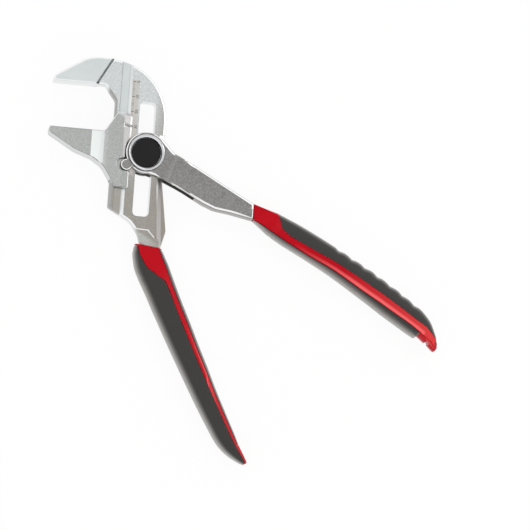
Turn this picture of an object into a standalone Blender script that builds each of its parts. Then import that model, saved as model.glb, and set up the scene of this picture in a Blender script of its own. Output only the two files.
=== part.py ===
"""Pliers wrench: a fixed jaw on a slotted bar, a parallel sliding jaw, and a lever on a push-button pivot.

Frame, in metres: the pivot axis is the Z axis, the tool lies on its back on z = 0 and shows its face to +Z,
the slotted bar runs along Y with the fixed jaw at its +Y end, and the jaws open towards -X.
At rest the jaws stand ten teeth below the top position, the lever is open and the button is pressed.
"""
import math

import bmesh
import bpy
from mathutils import Vector

# Gaps and overruns
GAP = 0.0003                  # between pieces that touch or slide on each other
OVERRUN = 0.003               # how far a cutter passes what it cuts
CHORD = 0.00006               # how far a fillet's straight steps may leave its true arc

# Thicknesses through the tool
HEAD_THICKNESS = 0.0164       # over the cheeks of the lever and of the sliding jaw
BAR_THICKNESS = 0.0098        # slotted bar
JAW_TIP_THICKNESS = 0.0140    # ground tips of both jaws
NECK_THICKNESS = 0.0078       # neck below the slotted bar
SHANK_THICKNESS = 0.0132      # lever between head and grip
EDGE = 0.0008                 # rounding of the jaw tips' edges
BAR_EDGE = 0.0013             # rounding of the bar's and the hook's edges
SHANK_EDGE = 0.0016           # rounding of the lever's edges
FINE_EDGE = 0.0005            # rounding of the machined edges

# Slotted bar, measured from the pivot axis
BAR_LEFT = 0.0222
BAR_RIGHT = 0.0117
SLOT_LEFT = 0.0062            # toothed wall
SLOT_RIGHT = 0.0046           # plain wall
SLOT_CORNER = 0.0030
SLOT_TOP_ROOM = 0.0029        # free slot above the sleeve in its top position
SLOT_END_ROOM = 0.0031        # free slot below the sleeve in its lowest position
GROOVE_LEFT = 0.0192
GROOVE_FLOOR_RIGHT = 0.0143
GROOVE_RIGHT = 0.0122
GROOVE_DEPTH = 0.0017
FLANK_WIDTH = 0.0030          # slanted flank down the bar's right side
FLANK_DEPTH = 0.0022
FLANK_LEAN = math.radians(4.1)
FLANK_FOOT = 0.0114           # where the flank begins at the grip
FLANK_BEND = 0.0150           # below the pivot axis, where the flank turns upright

# Rack and lock teeth
TOOTH_PITCH = 0.0025
TOOTH_DEPTH = 0.0016
TEETH_UP = 10                 # pitches from the rest position to the top one
TEETH_DOWN = 13               # pitches from the rest position to the lowest one
LOCK_TEETH = 3
TOOTH_TIP_SHARE = 0.30        # flat of a tooth's tip, as a share of the pitch
TOOTH_ROOT_SHARE = 0.62       # width of a tooth at its foot, as a share of the pitch
LOCK_HEIGHT = 0.0026          # toothed block of the lock bolt
BUTTON_TRAVEL = 0.0028
RACK_LIP = 0.0015             # plain lip that hides the rack on each face of the bar

# Jaws
JAW_FACE = 0.0427             # fixed gripping face above the pivot axis
FIXED_REACH = 0.0638          # jaw tips to the left of the pivot axis
SLIDING_REACH = 0.0642
FIXED_TIP_HEIGHT = 0.0034
SLIDING_TIP_HEIGHT = 0.0038
HOOK_TOP = 0.0603             # top of the hook above the pivot axis
HOOK_RADIUS = 0.0380
HOOK_BACK = 0.0409            # where the hook's back begins to fall to the tip
HOOK_BACK_RADIUS = 0.0220
THROAT_REACH = 0.0296         # end of the fixed gripping face
THROAT_DROP = 0.0094
THROAT_RADIUS = 0.0020
STEP_TOP = 0.0276             # step between the ground tip and the forged hook, at the hook's top
STEP_FACE = 0.0372            # the same step, at the gripping face
SHOULDER_REACH = 0.0284       # end of the sliding gripping face
SHOULDER_TOP = 0.0196         # peak of the sliding jaw's shoulder
SHOULDER_RISE = 0.0142
RAMP_START = 0.0366           # the sliding jaw thickens from here
RAMP_END = 0.0282             # to here
CHEEK_RIGHT = 0.0108          # right edge of the sliding jaw's cheeks
CHEEK_TOP = 0.0228
CHEEK_BOTTOM = 0.0242
CHAMFER_WIDTH = 0.0049        # along the right edge of the cheeks
CHAMFER_DEPTH = 0.0007
INDEX_DEPTH = 0.0004

# Bar's lower end and neck
BAR_HEEL = 0.0372             # end of the bar's left edge below the pivot axis
NECK_TOP = 0.0490
NECK_LEFT = 0.0003
NECK_RIGHT = 0.0139
NECK_STEP = 0.0050            # where the step down to the neck turns to the right
NECK_SLANT = 0.0033           # width of the slanted edge down the neck's left side
NECK_SLANT_DEPTH = 0.0012
NECK_SLANT_LEAN = math.radians(36.6)
BULGE_RIGHT = 0.0168
BULGE_DOWN = 0.0502

# Lever head and nose
HEAD_RADIUS = 0.0136
HEAD_BORE = 0.0122
HEAD_CLEARANCE = 0.0004       # sliding jaw's cheek to the lever's head
NOSE_DISTANCE = 0.0154        # pivot axis to the middle of the nose
NOSE_ANGLE = math.radians(215.2)
NOSE_RADIUS = 0.0038
NOSE_PLAY = 0.00045
LEVER_CLOSE = math.radians(22.0)
LEVER_OPEN = math.radians(3.0)
STROKE_UP = 0.0053            # travel of the sliding jaw while the lever closes
FORK_REACH = 0.0262           # depth of the lever's fork

# Lever shank
SHANK_LENGTH = 0.0808
SHANK_ANGLE = math.radians(-23.6)
SHANK_ROOT_WIDTH = 0.0165
SHANK_END_WIDTH = 0.0102
SHANK_BELLY = 0.0270          # where the shank is widest, along its length

# Sleeve, button and rear cap
SLEEVE_BLOCK = 0.0124         # length of the sleeve's block in the slot
FLANGE_THICKNESS = 0.0012
BEZEL_HEIGHT = 0.0048
BEZEL_WALL = 0.0021
BUTTON_THICKNESS = 0.0018
BUTTON_RADIUS = 0.0095
BOLT_RADIUS = 0.0030
STUD_RADIUS = 0.0018
STUB_RADIUS = 0.0044
CAP_WALL = 0.0012             # rear cap outside the spring
SNAP_RING_WIRE = 0.0008
SPRING_WIRE = 0.0006
SPRING_TURNS = 2.5

# Grips
GRIP_WIDTH = 0.0190
FIXED_GRIP_LENGTH = 0.1521
FIXED_GRIP_ANGLE = math.radians(-63.0)
FIXED_GRIP_START = 0.0610     # below the pivot axis
FIXED_FACE_ANGLE = math.radians(-97.0)  # way that the grip's end face looks, where the neck enters it
LEVER_GRIP_LENGTH = 0.1465
LEVER_GRIP_ANGLE = math.radians(-31.1)
LEVER_FACE_ANGLE = math.radians(-1.0)   # way that the grip's end face looks, where the shank enters it
FACE_SHARE = 0.10             # of the grip's length, over which its sections turn square to its middle line
PAD_SKIN = 0.0022
TANG_WIDTH = 0.0078
TANG_THICKNESS = 0.0070
TANG_LENGTH_SHARE = 0.74
WEB_HOLE_RADIUS = 0.0014      # tether hole through the thin web at the lever grip's end
NOTCH_DEPTH = 0.0010
NOTCHES = 7
GRIP_STATIONS = 20            # sections along a grip

MID = HEAD_THICKNESS / 2
JAW_RATIO = STROKE_UP / LEVER_CLOSE
TRAVEL_UP = TEETH_UP * TOOTH_PITCH
TRAVEL_DOWN = TEETH_DOWN * TOOTH_PITCH
SLIDING_FACE = JAW_FACE - TRAVEL_UP - STROKE_UP - GAP
SLOT_TOP = TRAVEL_UP + SLEEVE_BLOCK / 2 + SLOT_TOP_ROOM
SLOT_BOTTOM = TRAVEL_DOWN + SLEEVE_BLOCK / 2 + SLOT_END_ROOM
CHEEK_INNER = BAR_THICKNESS / 2 + GAP
NOSE = Vector((NOSE_DISTANCE * math.cos(NOSE_ANGLE), NOSE_DISTANCE * math.sin(NOSE_ANGLE)))

# Bezier places of the grips' middle lines: along and across, as shares of the grip's length
LEVER_AXIS_SHARES = ((0, 0), (0.267, 0.033), (0.664, 0.036), (1, 0))
FIXED_AXIS_SHARES = ((0, 0), (0.116, -0.047), (0.534, -0.039), (1, 0))

# Rows of a grip: share of its length, then shares of its width from the middle line to the outer side,
# the outer pad's edge, the inner pad's edge and the inner side, then the share of the full thickness
LEVER_GRIP_SHARES = (
    (0.00, 0.300, 0.280, -0.262, -0.300, 0.86),
    (0.06, 0.350, 0.320, -0.260, -0.370, 0.90),
    (0.10, 0.410, 0.330, -0.290, -0.430, 0.93),
    (0.15, 0.450, -0.030, -0.305, -0.465, 0.95),
    (0.20, 0.485, -0.110, -0.325, -0.480, 0.98),
    (0.30, 0.515, -0.060, -0.320, -0.460, 1.00),
    (0.45, 0.560, 0.040, -0.235, -0.430, 1.00),
    (0.60, 0.615, 0.095, -0.220, -0.440, 1.00),
    (0.75, 0.640, 0.145, -0.160, -0.440, 1.00),
    (0.88, 0.640, 0.180, -0.085, -0.385, 0.98),
    (0.94, 0.550, 0.230, -0.070, -0.335, 0.92),
    (1.00, 0.275, 0.150, -0.050, -0.350, 0.80),
    (1.03, 0.080, 0.020, -0.140, -0.335, 0.66),
    (1.042, -0.040, -0.070, -0.200, -0.300, 0.50),
)
FIXED_GRIP_SHARES = (
    (0.00, 0.520, 0.440, -0.320, -0.430, 0.84),
    (0.03, 0.630, 0.410, -0.345, -0.500, 0.92),
    (0.08, 0.655, 0.260, -0.385, -0.535, 0.97),
    (0.12, 0.625, 0.020, -0.400, -0.550, 1.00),
    (0.16, 0.590, -0.210, -0.405, -0.560, 1.00),
    (0.20, 0.560, -0.245, -0.410, -0.560, 1.00),
    (0.35, 0.520, -0.230, -0.410, -0.555, 1.00),
    (0.55, 0.500, -0.185, -0.340, -0.480, 1.00),
    (0.72, 0.500, -0.125, -0.255, -0.370, 1.00),
    (0.88, 0.480, -0.080, -0.195, -0.290, 0.96),
    (0.935, 0.390, -0.080, -0.185, -0.235, 0.90),
    (0.985, 0.180, -0.105, -0.195, -0.225, 0.76),
    (1.012, 0.030, -0.120, -0.190, -0.215, 0.60),
    (1.020, -0.050, -0.130, -0.175, -0.200, 0.46),
)
# Where the pads begin and end, as shares of the grip's length
LEVER_PAD_SHARES = {"outer": (0.105, 1.035), "inner": (0.004, 0.935)}
FIXED_PAD_SHARES = {"outer": (0.004, 1.014), "inner": (0.004, 0.935)}
NOTCH_SHARES = (0.42, 0.84)   # first and last notch of the lever's outer pad
WEB_HOLE_SHARES = (0.992, -0.190)   # along the grip's length, across its width
SKIN_SHARE = 0.55             # of a narrow pad's width that its skin may take
SLIM_SHARE = 0.40             # of half the width of a slim section that its skin may take

# The sliding jaw's underside from the tip: shares of its reach to the left and of its face's height
UNDERSIDE_SHARES = ((0.735, -0.13), (0.560, -0.46), (0.439, -0.86))
# The lever's shank: shares of its length, and of half its root width
SHANK_LOWER_SHARES = (
    (0.12, -1.36), (0.25, -1.22), (0.42, -1.27), (0.60, -1.40), (0.71, -1.36), (0.83, -1.02), (1, -0.63))
SHANK_UPPER_SHARES = ((1, 0.63), (0.67, 0.77), (0.42, 1), (0.20, 1.05), (0.067, 1.61))
# The fork's room, open to the left and deepest along the shank's lower side: shares of its reach along
# the shank, and of the head's radius across it
FORK_SHARES = ((-1.2, -2), (1.60, -2), (1.60, -0.40), (1, 0.30), (0.94, 2), (-1.2, 2))


def clear_scene():
    for item in list(bpy.data.objects):
        bpy.data.objects.remove(item, do_unlink=True)


def make_material(name, colour, roughness, metallic):
    """A plain Principled material."""
    material = bpy.data.materials.new(name)
    material.use_nodes = True
    shader = material.node_tree.nodes["Principled BSDF"]
    shader.inputs["Base Color"].default_value = (*colour, 1)
    shader.inputs["Roughness"].default_value = roughness
    shader.inputs["Metallic"].default_value = metallic
    return material


def add_object(name, mesh_builder, material=None, smooth_angle=math.radians(32)):
    """Turns a bmesh into an object whose round faces are shaded smooth."""
    mesh = bpy.data.meshes.new(name)
    bmesh.ops.recalc_face_normals(mesh_builder, faces=mesh_builder.faces)
    mesh_builder.to_mesh(mesh)
    mesh_builder.free()
    mesh.shade_smooth()
    mesh.set_sharp_from_angle(angle=smooth_angle)
    item = bpy.data.objects.new(name, mesh)
    bpy.context.scene.collection.objects.link(item)
    if material:
        mesh.materials.append(material)
    return item


def combine(body, tool, operation):
    """Leaves a Boolean with the tool on the body, and hides the tool."""
    modifier = body.modifiers.new(tool.name, "BOOLEAN")
    modifier.operation = operation
    modifier.solver = "EXACT"
    modifier.object = tool
    tool.hide_render = True
    tool.display_type = "WIRE"


def cut(body, tool):
    combine(body, tool, "DIFFERENCE")


def fuse(body, tool):
    combine(body, tool, "UNION")


# Outlines

def arc(centre, radius, start, end, steps):
    """Points on an arc, both ends included."""
    return [
        (centre[0] + radius * math.cos(start + (end - start) * i / steps),
         centre[1] + radius * math.sin(start + (end - start) * i / steps))
        for i in range(steps + 1)
    ]


def rounded(corners):
    """An outline from corners (x, y, fillet radius). Fillets that meet on an edge share its length."""
    count = len(corners)
    places = [Vector(corner[:2]) for corner in corners]
    turns = []
    reaches = []
    for i, here in enumerate(places):
        back = places[i - 1] - here
        ahead = places[(i + 1) % count] - here
        turns.append(math.pi - back.angle(ahead))
        reaches.append(corners[i][2] * math.tan(turns[i] / 2))
    shares = [1.0] * count
    for i in range(count):
        after = (i + 1) % count
        room = (places[after] - places[i]).length * 0.98
        taken = reaches[i] + reaches[after]
        if taken > room:
            shares[i] = min(shares[i], room / taken)
            shares[after] = min(shares[after], room / taken)
    points = []
    for i, here in enumerate(places):
        reach = reaches[i] * shares[i]
        if reach <= 0 or turns[i] < math.radians(1):
            points.append(tuple(here))
            continue
        radius = reach / math.tan(turns[i] / 2)
        back = (places[i - 1] - here).normalized()
        ahead = (places[(i + 1) % count] - here).normalized()
        centre = here + (back + ahead).normalized() * radius / math.cos(turns[i] / 2)
        first = here + back * reach - centre
        last = here + ahead * reach - centre
        sweep = math.atan2(first.x * last.y - first.y * last.x, first.dot(last))
        step = 2 * math.acos(max(1 - CHORD / radius, 0))
        steps = max(2, math.ceil(abs(sweep) / step))
        begin = math.atan2(first.y, first.x)
        points += arc(centre, radius, begin, begin + sweep, steps)
    return points


def anticlockwise(outline):
    area = sum(
        outline[i - 1][0] * outline[i][1] - outline[i][0] * outline[i - 1][1] for i in range(len(outline))
    )
    return outline if area > 0 else outline[::-1]


def turn(point, angle):
    return Vector((point[0] * math.cos(angle) - point[1] * math.sin(angle),
                   point[0] * math.sin(angle) + point[1] * math.cos(angle)))


def inset(outline, distance):
    """The outline moved inwards; the outline runs anticlockwise."""
    moved = []
    for i, point in enumerate(outline):
        here = Vector(point)
        along_in = (here - Vector(outline[i - 1])).normalized()
        along_out = (Vector(outline[(i + 1) % len(outline)]) - here).normalized()
        normal_in = Vector((-along_in.y, along_in.x))
        normal_out = Vector((-along_out.y, along_out.x))
        mitre = (normal_in + normal_out) / max(1 + normal_in.dot(normal_out), 0.3)
        moved.append(here + mitre * distance)
    # A short edge that the move would turn round shrinks to almost nothing instead
    for i in range(-1, len(outline) * 3 - 1):
        first = i % len(outline)
        last = (i + 1) % len(outline)
        edge = Vector(outline[last]) - Vector(outline[first])
        if (moved[last] - moved[first]).dot(edge) <= 0:
            middle = (moved[first] + moved[last]) / 2
            moved[first] = middle - edge * 0.02
            moved[last] = middle + edge * 0.02
    return [tuple(point) for point in moved]


def slab(name, outline, low, high, edge=0.0, material=None, edge_steps=2):
    """A plate between two heights with rounded edges."""
    outline = anticlockwise(outline)
    levels = [(low, 0), (high, 0)]
    if edge > 0:
        angles = [math.pi / 2 * i / edge_steps for i in range(edge_steps + 1)]
        lower = [(low + edge * (1 - math.sin(a)), edge * (1 - math.cos(a))) for a in reversed(angles)]
        upper = [(high - edge * (1 - math.sin(a)), edge * (1 - math.cos(a))) for a in angles]
        levels = lower + upper
    build = bmesh.new()
    loops = [
        [build.verts.new((x, y, height)) for x, y in (inset(outline, shift) if shift else outline)]
        for height, shift in levels
    ]
    close_loops(build, loops)
    return add_object(name, build, material)


def keep_side(item, point, way):
    """Cuts an object by an upright plane, keeps what lies on one side of it and closes the cut."""
    build = bmesh.new()
    build.from_mesh(item.data)
    parts = build.verts[:] + build.edges[:] + build.faces[:]
    bmesh.ops.bisect_plane(build, geom=parts, plane_co=(*point, 0), plane_no=(*way, 0), clear_inner=True)
    bmesh.ops.edgenet_fill(build, edges=[edge for edge in build.edges if edge.is_boundary])
    bmesh.ops.recalc_face_normals(build, faces=build.faces)
    build.to_mesh(item.data)
    build.free()


def close_loops(build, loops):
    """Skins a row of loops of equal length and closes both ends."""
    count = len(loops[0])
    for below, above in zip(loops, loops[1:]):
        for i in range(count):
            build.faces.new((below[i - 1], below[i], above[i], above[i - 1]))
    build.faces.new(loops[0][::-1])
    build.faces.new(loops[-1])


def turned(name, profile, material=None, steps=40, centre=(0, 0)):
    """A closed ring or disc turned about a vertical axis; profile points are (radius, height)."""
    build = bmesh.new()
    rings = []
    for radius, height in profile:
        if radius <= 0:
            rings.append([build.verts.new((centre[0], centre[1], height))])
            continue
        rings.append([build.verts.new((x, y, height)) for x, y in
                      arc(centre, radius, 0, 2 * math.pi * (steps - 1) / steps, steps - 1)])
    for i, ring in enumerate(rings):
        after = rings[(i + 1) % len(rings)]
        if len(ring) == 1 and len(after) == 1:
            continue
        for k in range(steps):
            corners = [ring[k - 1], ring[k]] if len(ring) > 1 else [ring[0]]
            corners += [after[k], after[k - 1]] if len(after) > 1 else [after[0]]
            build.faces.new(corners)
    return add_object(name, build, material)


def wedge(name, section, start, along, across, length):
    """A prism whose section (across, height) runs for a length along a direction in the plane of the tool."""
    build = bmesh.new()
    loops = []
    for distance in (0, length):
        origin = Vector(start) + Vector(along) * distance
        loops.append([
            build.verts.new((origin.x + across[0] * side, origin.y + across[1] * side, height))
            for side, height in section
        ])
    close_loops(build, loops)
    return add_object(name, build)


# Grip middle lines

def grip_axis(start, angle, length, shares):
    """Point and direction of a grip's middle line at a share of its length, before and after it too."""
    along = Vector((math.cos(angle), math.sin(angle)))
    across = Vector((-along.y, along.x))
    places = [Vector(start) + along * (length * a) + across * (length * b) for a, b in shares]

    def at(share):
        inside = min(max(share, 0), 1)
        low, high = 0.0, 1.0
        for _ in range(30):
            t = (low + high) / 2
            reached = 3 * t * (1 - t) ** 2 * shares[1][0] + 3 * t * t * (1 - t) * shares[2][0] + t ** 3
            low, high = (t, high) if reached < inside else (low, t)
        point = (places[0] * (1 - t) ** 3 + places[1] * (3 * t * (1 - t) ** 2)
                 + places[2] * (3 * t * t * (1 - t)) + places[3] * t ** 3)
        slope = ((places[1] - places[0]) * (1 - t) ** 2 + (places[2] - places[1]) * (2 * t * (1 - t))
                 + (places[3] - places[2]) * t * t).normalized()
        return point + slope * (length * (share - inside)), slope

    return at


def lever_axis():
    start = (SHANK_LENGTH * math.cos(SHANK_ANGLE), SHANK_LENGTH * math.sin(SHANK_ANGLE))
    return grip_axis(start, LEVER_GRIP_ANGLE, LEVER_GRIP_LENGTH, LEVER_AXIS_SHARES)


def facing(slope, share, face_angle):
    """The way a grip's section looks: as its end face at the start, and soon along the middle line."""
    if face_angle is None:
        return slope
    turned_away = face_angle - math.atan2(slope.y, slope.x)
    return turn(slope, turned_away * max(1 - share / FACE_SHARE, 0))


def fixed_axis():
    start = ((NECK_RIGHT + NECK_LEFT) / 2, -FIXED_GRIP_START)
    return grip_axis(start, FIXED_GRIP_ANGLE, FIXED_GRIP_LENGTH, FIXED_AXIS_SHARES)


def tang(name, axis, begin, end, room=0.0, material=None):
    """The flat steel tang that runs down the middle of a grip, or the pocket for it."""
    build = bmesh.new()
    half_width = TANG_WIDTH / 2 + room
    half_thickness = TANG_THICKNESS / 2 + room
    steps = 12
    loops = []
    for i in range(steps + 1):
        point, slope = axis(begin + (end - begin) * i / steps)
        side = Vector((-slope.y, slope.x)) * half_width
        loops.append([
            build.verts.new((*(point + side * u), MID + half_thickness * v))
            for u, v in ((1, 1), (-1, 1), (-1, -1), (1, -1))
        ])
    close_loops(build, loops)
    return add_object(name, build, material)


# Fixed jaw

def neck_end():
    """Left and right corner of the neck, along the grip's end face and just clear of it."""
    look = Vector((math.cos(FIXED_FACE_ANGLE), math.sin(FIXED_FACE_ANGLE)))
    point = fixed_axis()(0)[0] - look * GAP
    side = Vector((-look.y, look.x)) * (NECK_RIGHT - NECK_LEFT) / 2
    return point - side, point + side


def fixed_outline():
    neck_left, neck_right = neck_end()
    return rounded([
        (-FIXED_REACH, JAW_FACE, EDGE * 1.5),
        (-THROAT_REACH, JAW_FACE, THROAT_RADIUS),
        (-BAR_LEFT, JAW_FACE - THROAT_DROP, THROAT_RADIUS * 2),
        (-BAR_LEFT, -BAR_HEEL, EDGE * 2),
        (-BAR_LEFT * 0.34, -(BAR_HEEL + (NECK_TOP - BAR_HEEL) * 0.72), HOOK_RADIUS / 4),
        (NECK_LEFT - FLANK_WIDTH * 0.55, -NECK_TOP - (FIXED_GRIP_START - NECK_TOP) * 0.35, HOOK_RADIUS / 4),
        (neck_left.x, neck_left.y, 0),
        (neck_right.x, neck_right.y, 0),
        (BULGE_RIGHT, -BULGE_DOWN, HOOK_RADIUS / 8),
        (BAR_RIGHT, -BULGE_DOWN * 0.3, HOOK_RADIUS),
        (BAR_RIGHT, HOOK_TOP, HOOK_RADIUS),
        (-HOOK_BACK, HOOK_TOP, HOOK_BACK_RADIUS),
        (-FIXED_REACH + EDGE, JAW_FACE + FIXED_TIP_HEIGHT, EDGE * 2),
        (-FIXED_REACH, JAW_FACE + FIXED_TIP_HEIGHT * 0.5, EDGE),
    ])


def make_jaw_tip():
    """The ground tip, thicker than the bar, which falls to the forged hook by a slanted step."""
    half_bar = BAR_THICKNESS / 2
    half_tip = JAW_TIP_THICKNESS / 2
    run = Vector((STEP_FACE - STEP_TOP, HOOK_TOP - JAW_FACE)).normalized()
    right = Vector((run.y, -run.x))
    foot = Vector((-STEP_FACE, JAW_FACE)) + right * (half_tip - half_bar)
    tip = slab("jaw_tip", fixed_outline(), MID - half_tip, MID + half_tip, EDGE)
    keep_side(tip, foot + right * EDGE * 2, -right)
    length = HOOK_TOP - JAW_FACE
    for side in (1, -1):
        section = [
            (-OVERRUN, MID + side * (half_tip + OVERRUN)),
            (BAR_EDGE, MID + side * (half_bar - BAR_EDGE)),
            (OVERRUN, MID + side * (half_bar - BAR_EDGE)),
            (OVERRUN, MID + side * (half_tip + OVERRUN)),
        ]
        cut(tip, wedge(f"step_cutter_{side + 1}", section, foot - run * length, run, right, length * 3))
    return tip


def make_fixed_jaw(steel):
    half_bar = BAR_THICKNESS / 2
    jaw = slab("fixed_jaw", fixed_outline(), MID - half_bar, MID + half_bar, BAR_EDGE, steel)
    fuse(jaw, make_jaw_tip())
    lean = Vector((-math.sin(FLANK_LEAN), math.cos(FLANK_LEAN)))
    foot = Vector((FLANK_FOOT, -FIXED_GRIP_START))
    bend = foot + lean * ((FIXED_GRIP_START - FLANK_BEND) / lean.y)
    for side in (1, -1):
        # Neck, lower than the bar's face
        neck = [
            (-BAR_LEFT, -NECK_TOP), (NECK_STEP, -NECK_TOP - EDGE),
            (FLANK_FOOT, -NECK_TOP - EDGE - (FLANK_FOOT - NECK_STEP)), (BAR_LEFT, -FIXED_GRIP_START),
            (BAR_LEFT, -FIXED_GRIP_START - OVERRUN * 2), (-BAR_LEFT, -FIXED_GRIP_START - OVERRUN * 2)]
        inner, outer = sorted((MID + side * NECK_THICKNESS / 2, MID + side * (half_bar + OVERRUN)))
        cut(jaw, slab(f"neck_cutter_{side + 1}", neck, inner, outer, EDGE))

        # Slanted edge down the neck's left side
        corner = neck_end()[0]
        run = Vector((-math.sin(NECK_SLANT_LEAN), math.cos(NECK_SLANT_LEAN)))
        slant = [
            (0, MID + side * NECK_THICKNESS / 2),
            (-NECK_SLANT * 2, MID + side * (NECK_THICKNESS / 2 - NECK_SLANT_DEPTH * 2)),
            (-NECK_SLANT * 2, MID + side * (half_bar + OVERRUN)),
            (0, MID + side * (half_bar + OVERRUN)),
        ]
        cut(jaw, wedge(f"neck_slant_cutter_{side + 1}", slant,
                       corner + Vector((NECK_SLANT, 0)) - run * OVERRUN, run, (run.y, -run.x),
                       OVERRUN - (NECK_TOP + EDGE + corner.y) / run.y))

        # Guide groove, open at both ends of the bar, with one slanted wall
        groove = [
            (-GROOVE_LEFT, MID + side * (half_bar + OVERRUN)),
            (-GROOVE_LEFT, MID + side * (half_bar - GROOVE_DEPTH)),
            (-GROOVE_FLOOR_RIGHT, MID + side * (half_bar - GROOVE_DEPTH)),
            (-GROOVE_RIGHT, MID + side * half_bar),
            (-GROOVE_RIGHT, MID + side * (half_bar + OVERRUN)),
        ]
        cut(jaw, wedge(f"groove_cutter_{side + 1}", groove, (0, -NECK_TOP), (0, 1), (1, 0),
                       HOOK_TOP + NECK_TOP))

        # Flank down the right side of the bar, in two slopes: leaning below the head, upright beside it
        flank = [
            (0, MID + side * half_bar),
            (FLANK_WIDTH, MID + side * (half_bar - FLANK_DEPTH)),
            (FLANK_WIDTH * 4, MID + side * (half_bar - FLANK_DEPTH * 1.5)),
            (FLANK_WIDTH * 4, MID + side * (half_bar + OVERRUN)),
            (0, MID + side * (half_bar + OVERRUN)),
        ]
        across = Vector((lean.y, -lean.x))
        cut(jaw, wedge(f"flank_cutter_{side + 1}", flank, foot - lean * OVERRUN * 2, lean, across,
                       (bend - foot).length + OVERRUN * 2))
        cut(jaw, wedge(f"flank_end_cutter_{side + 1}", flank, bend - lean * EDGE, (0, 1), (1, 0),
                       HEAD_RADIUS + FLANK_BEND))

    # Slot with the rack on its left wall
    slot = rounded([
        (-SLOT_LEFT, -SLOT_BOTTOM, SLOT_CORNER), (SLOT_RIGHT, -SLOT_BOTTOM, SLOT_CORNER),
        (SLOT_RIGHT, SLOT_TOP, SLOT_CORNER), (-SLOT_LEFT, SLOT_TOP, SLOT_CORNER)])
    cut(jaw, slab("slot_cutter", slot, MID - half_bar - OVERRUN, MID + half_bar + OVERRUN))
    cut(jaw, make_rack_cutter())

    axis = fixed_axis()
    overlap = OVERRUN / FIXED_GRIP_LENGTH
    fuse(jaw, tang("fixed_tang", axis, -overlap, TANG_LENGTH_SHARE))
    return jaw


def lock_levels():
    """Heights of the rack's lower end, the resting lock bolt's toothed block, and the rack's upper end."""
    low = MID - BAR_THICKNESS / 2 + RACK_LIP
    high = MID + BAR_THICKNESS / 2 - RACK_LIP
    block_low = low + GAP
    block_high = block_low + LOCK_HEIGHT
    return low, block_low, block_high, high


def tooth_sides(centre, grow):
    """A tooth of the lock bolt as (depth share, place along the bar), made wider by grow on each flank."""
    tip = TOOTH_PITCH * TOOTH_TIP_SHARE / 2 + grow
    foot = TOOTH_PITCH * TOOTH_ROOT_SHARE / 2 + grow
    return [(0, centre - foot), (1, centre - tip), (1, centre + tip), (0, centre + foot)]


def make_rack_cutter():
    """A channel for the pressed lock bolt, and above it the gaps between the rack's teeth."""
    low, _, block_high, high = lock_levels()
    reach = (LOCK_TEETH - 1) / 2
    wall = -SLOT_LEFT
    first = -(TEETH_DOWN + reach)
    last = TEETH_UP + reach
    outline = [(wall + OVERRUN, first * TOOTH_PITCH - TOOTH_PITCH / 2)]
    outline.append((wall, outline[0][1]))
    for k in range(int(round(last - first)) + 1):
        for depth, y in tooth_sides((first + k) * TOOTH_PITCH, GAP):
            outline.append((wall - TOOTH_DEPTH * depth, y))
    end = last * TOOTH_PITCH + TOOTH_PITCH / 2
    outline += [(wall, end), (wall + OVERRUN, end)]
    teeth = slab("rack_cutter", outline, (low + high) / 2 - GAP, high)
    channel_outline = [
        (wall + OVERRUN, outline[0][1]), (wall - TOOTH_DEPTH, outline[0][1]),
        (wall - TOOTH_DEPTH, end), (wall + OVERRUN, end)]
    fuse(teeth, slab("channel_cutter", channel_outline, low, block_high + GAP))
    return teeth


# Sliding jaw

def sliding_outline():
    face = SLIDING_FACE
    return rounded([
        (-SLIDING_REACH, face, EDGE),
        (-SLIDING_REACH, face - SLIDING_TIP_HEIGHT, EDGE * 2),
        *[(-SLIDING_REACH * a, face * b, HOOK_RADIUS / 3) for a, b in UNDERSIDE_SHARES],
        (-BAR_LEFT - EDGE, -CHEEK_BOTTOM * 0.76, HOOK_RADIUS / 3),
        (-GROOVE_LEFT - EDGE, -CHEEK_BOTTOM, EDGE),
        (-CHEEK_RIGHT, -CHEEK_BOTTOM, EDGE),
        (-CHEEK_RIGHT, CHEEK_TOP, EDGE * 2),
        (-SHOULDER_TOP, face + SHOULDER_RISE, EDGE * 2),
        (-SHOULDER_REACH, face, THROAT_RADIUS),
    ])


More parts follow.
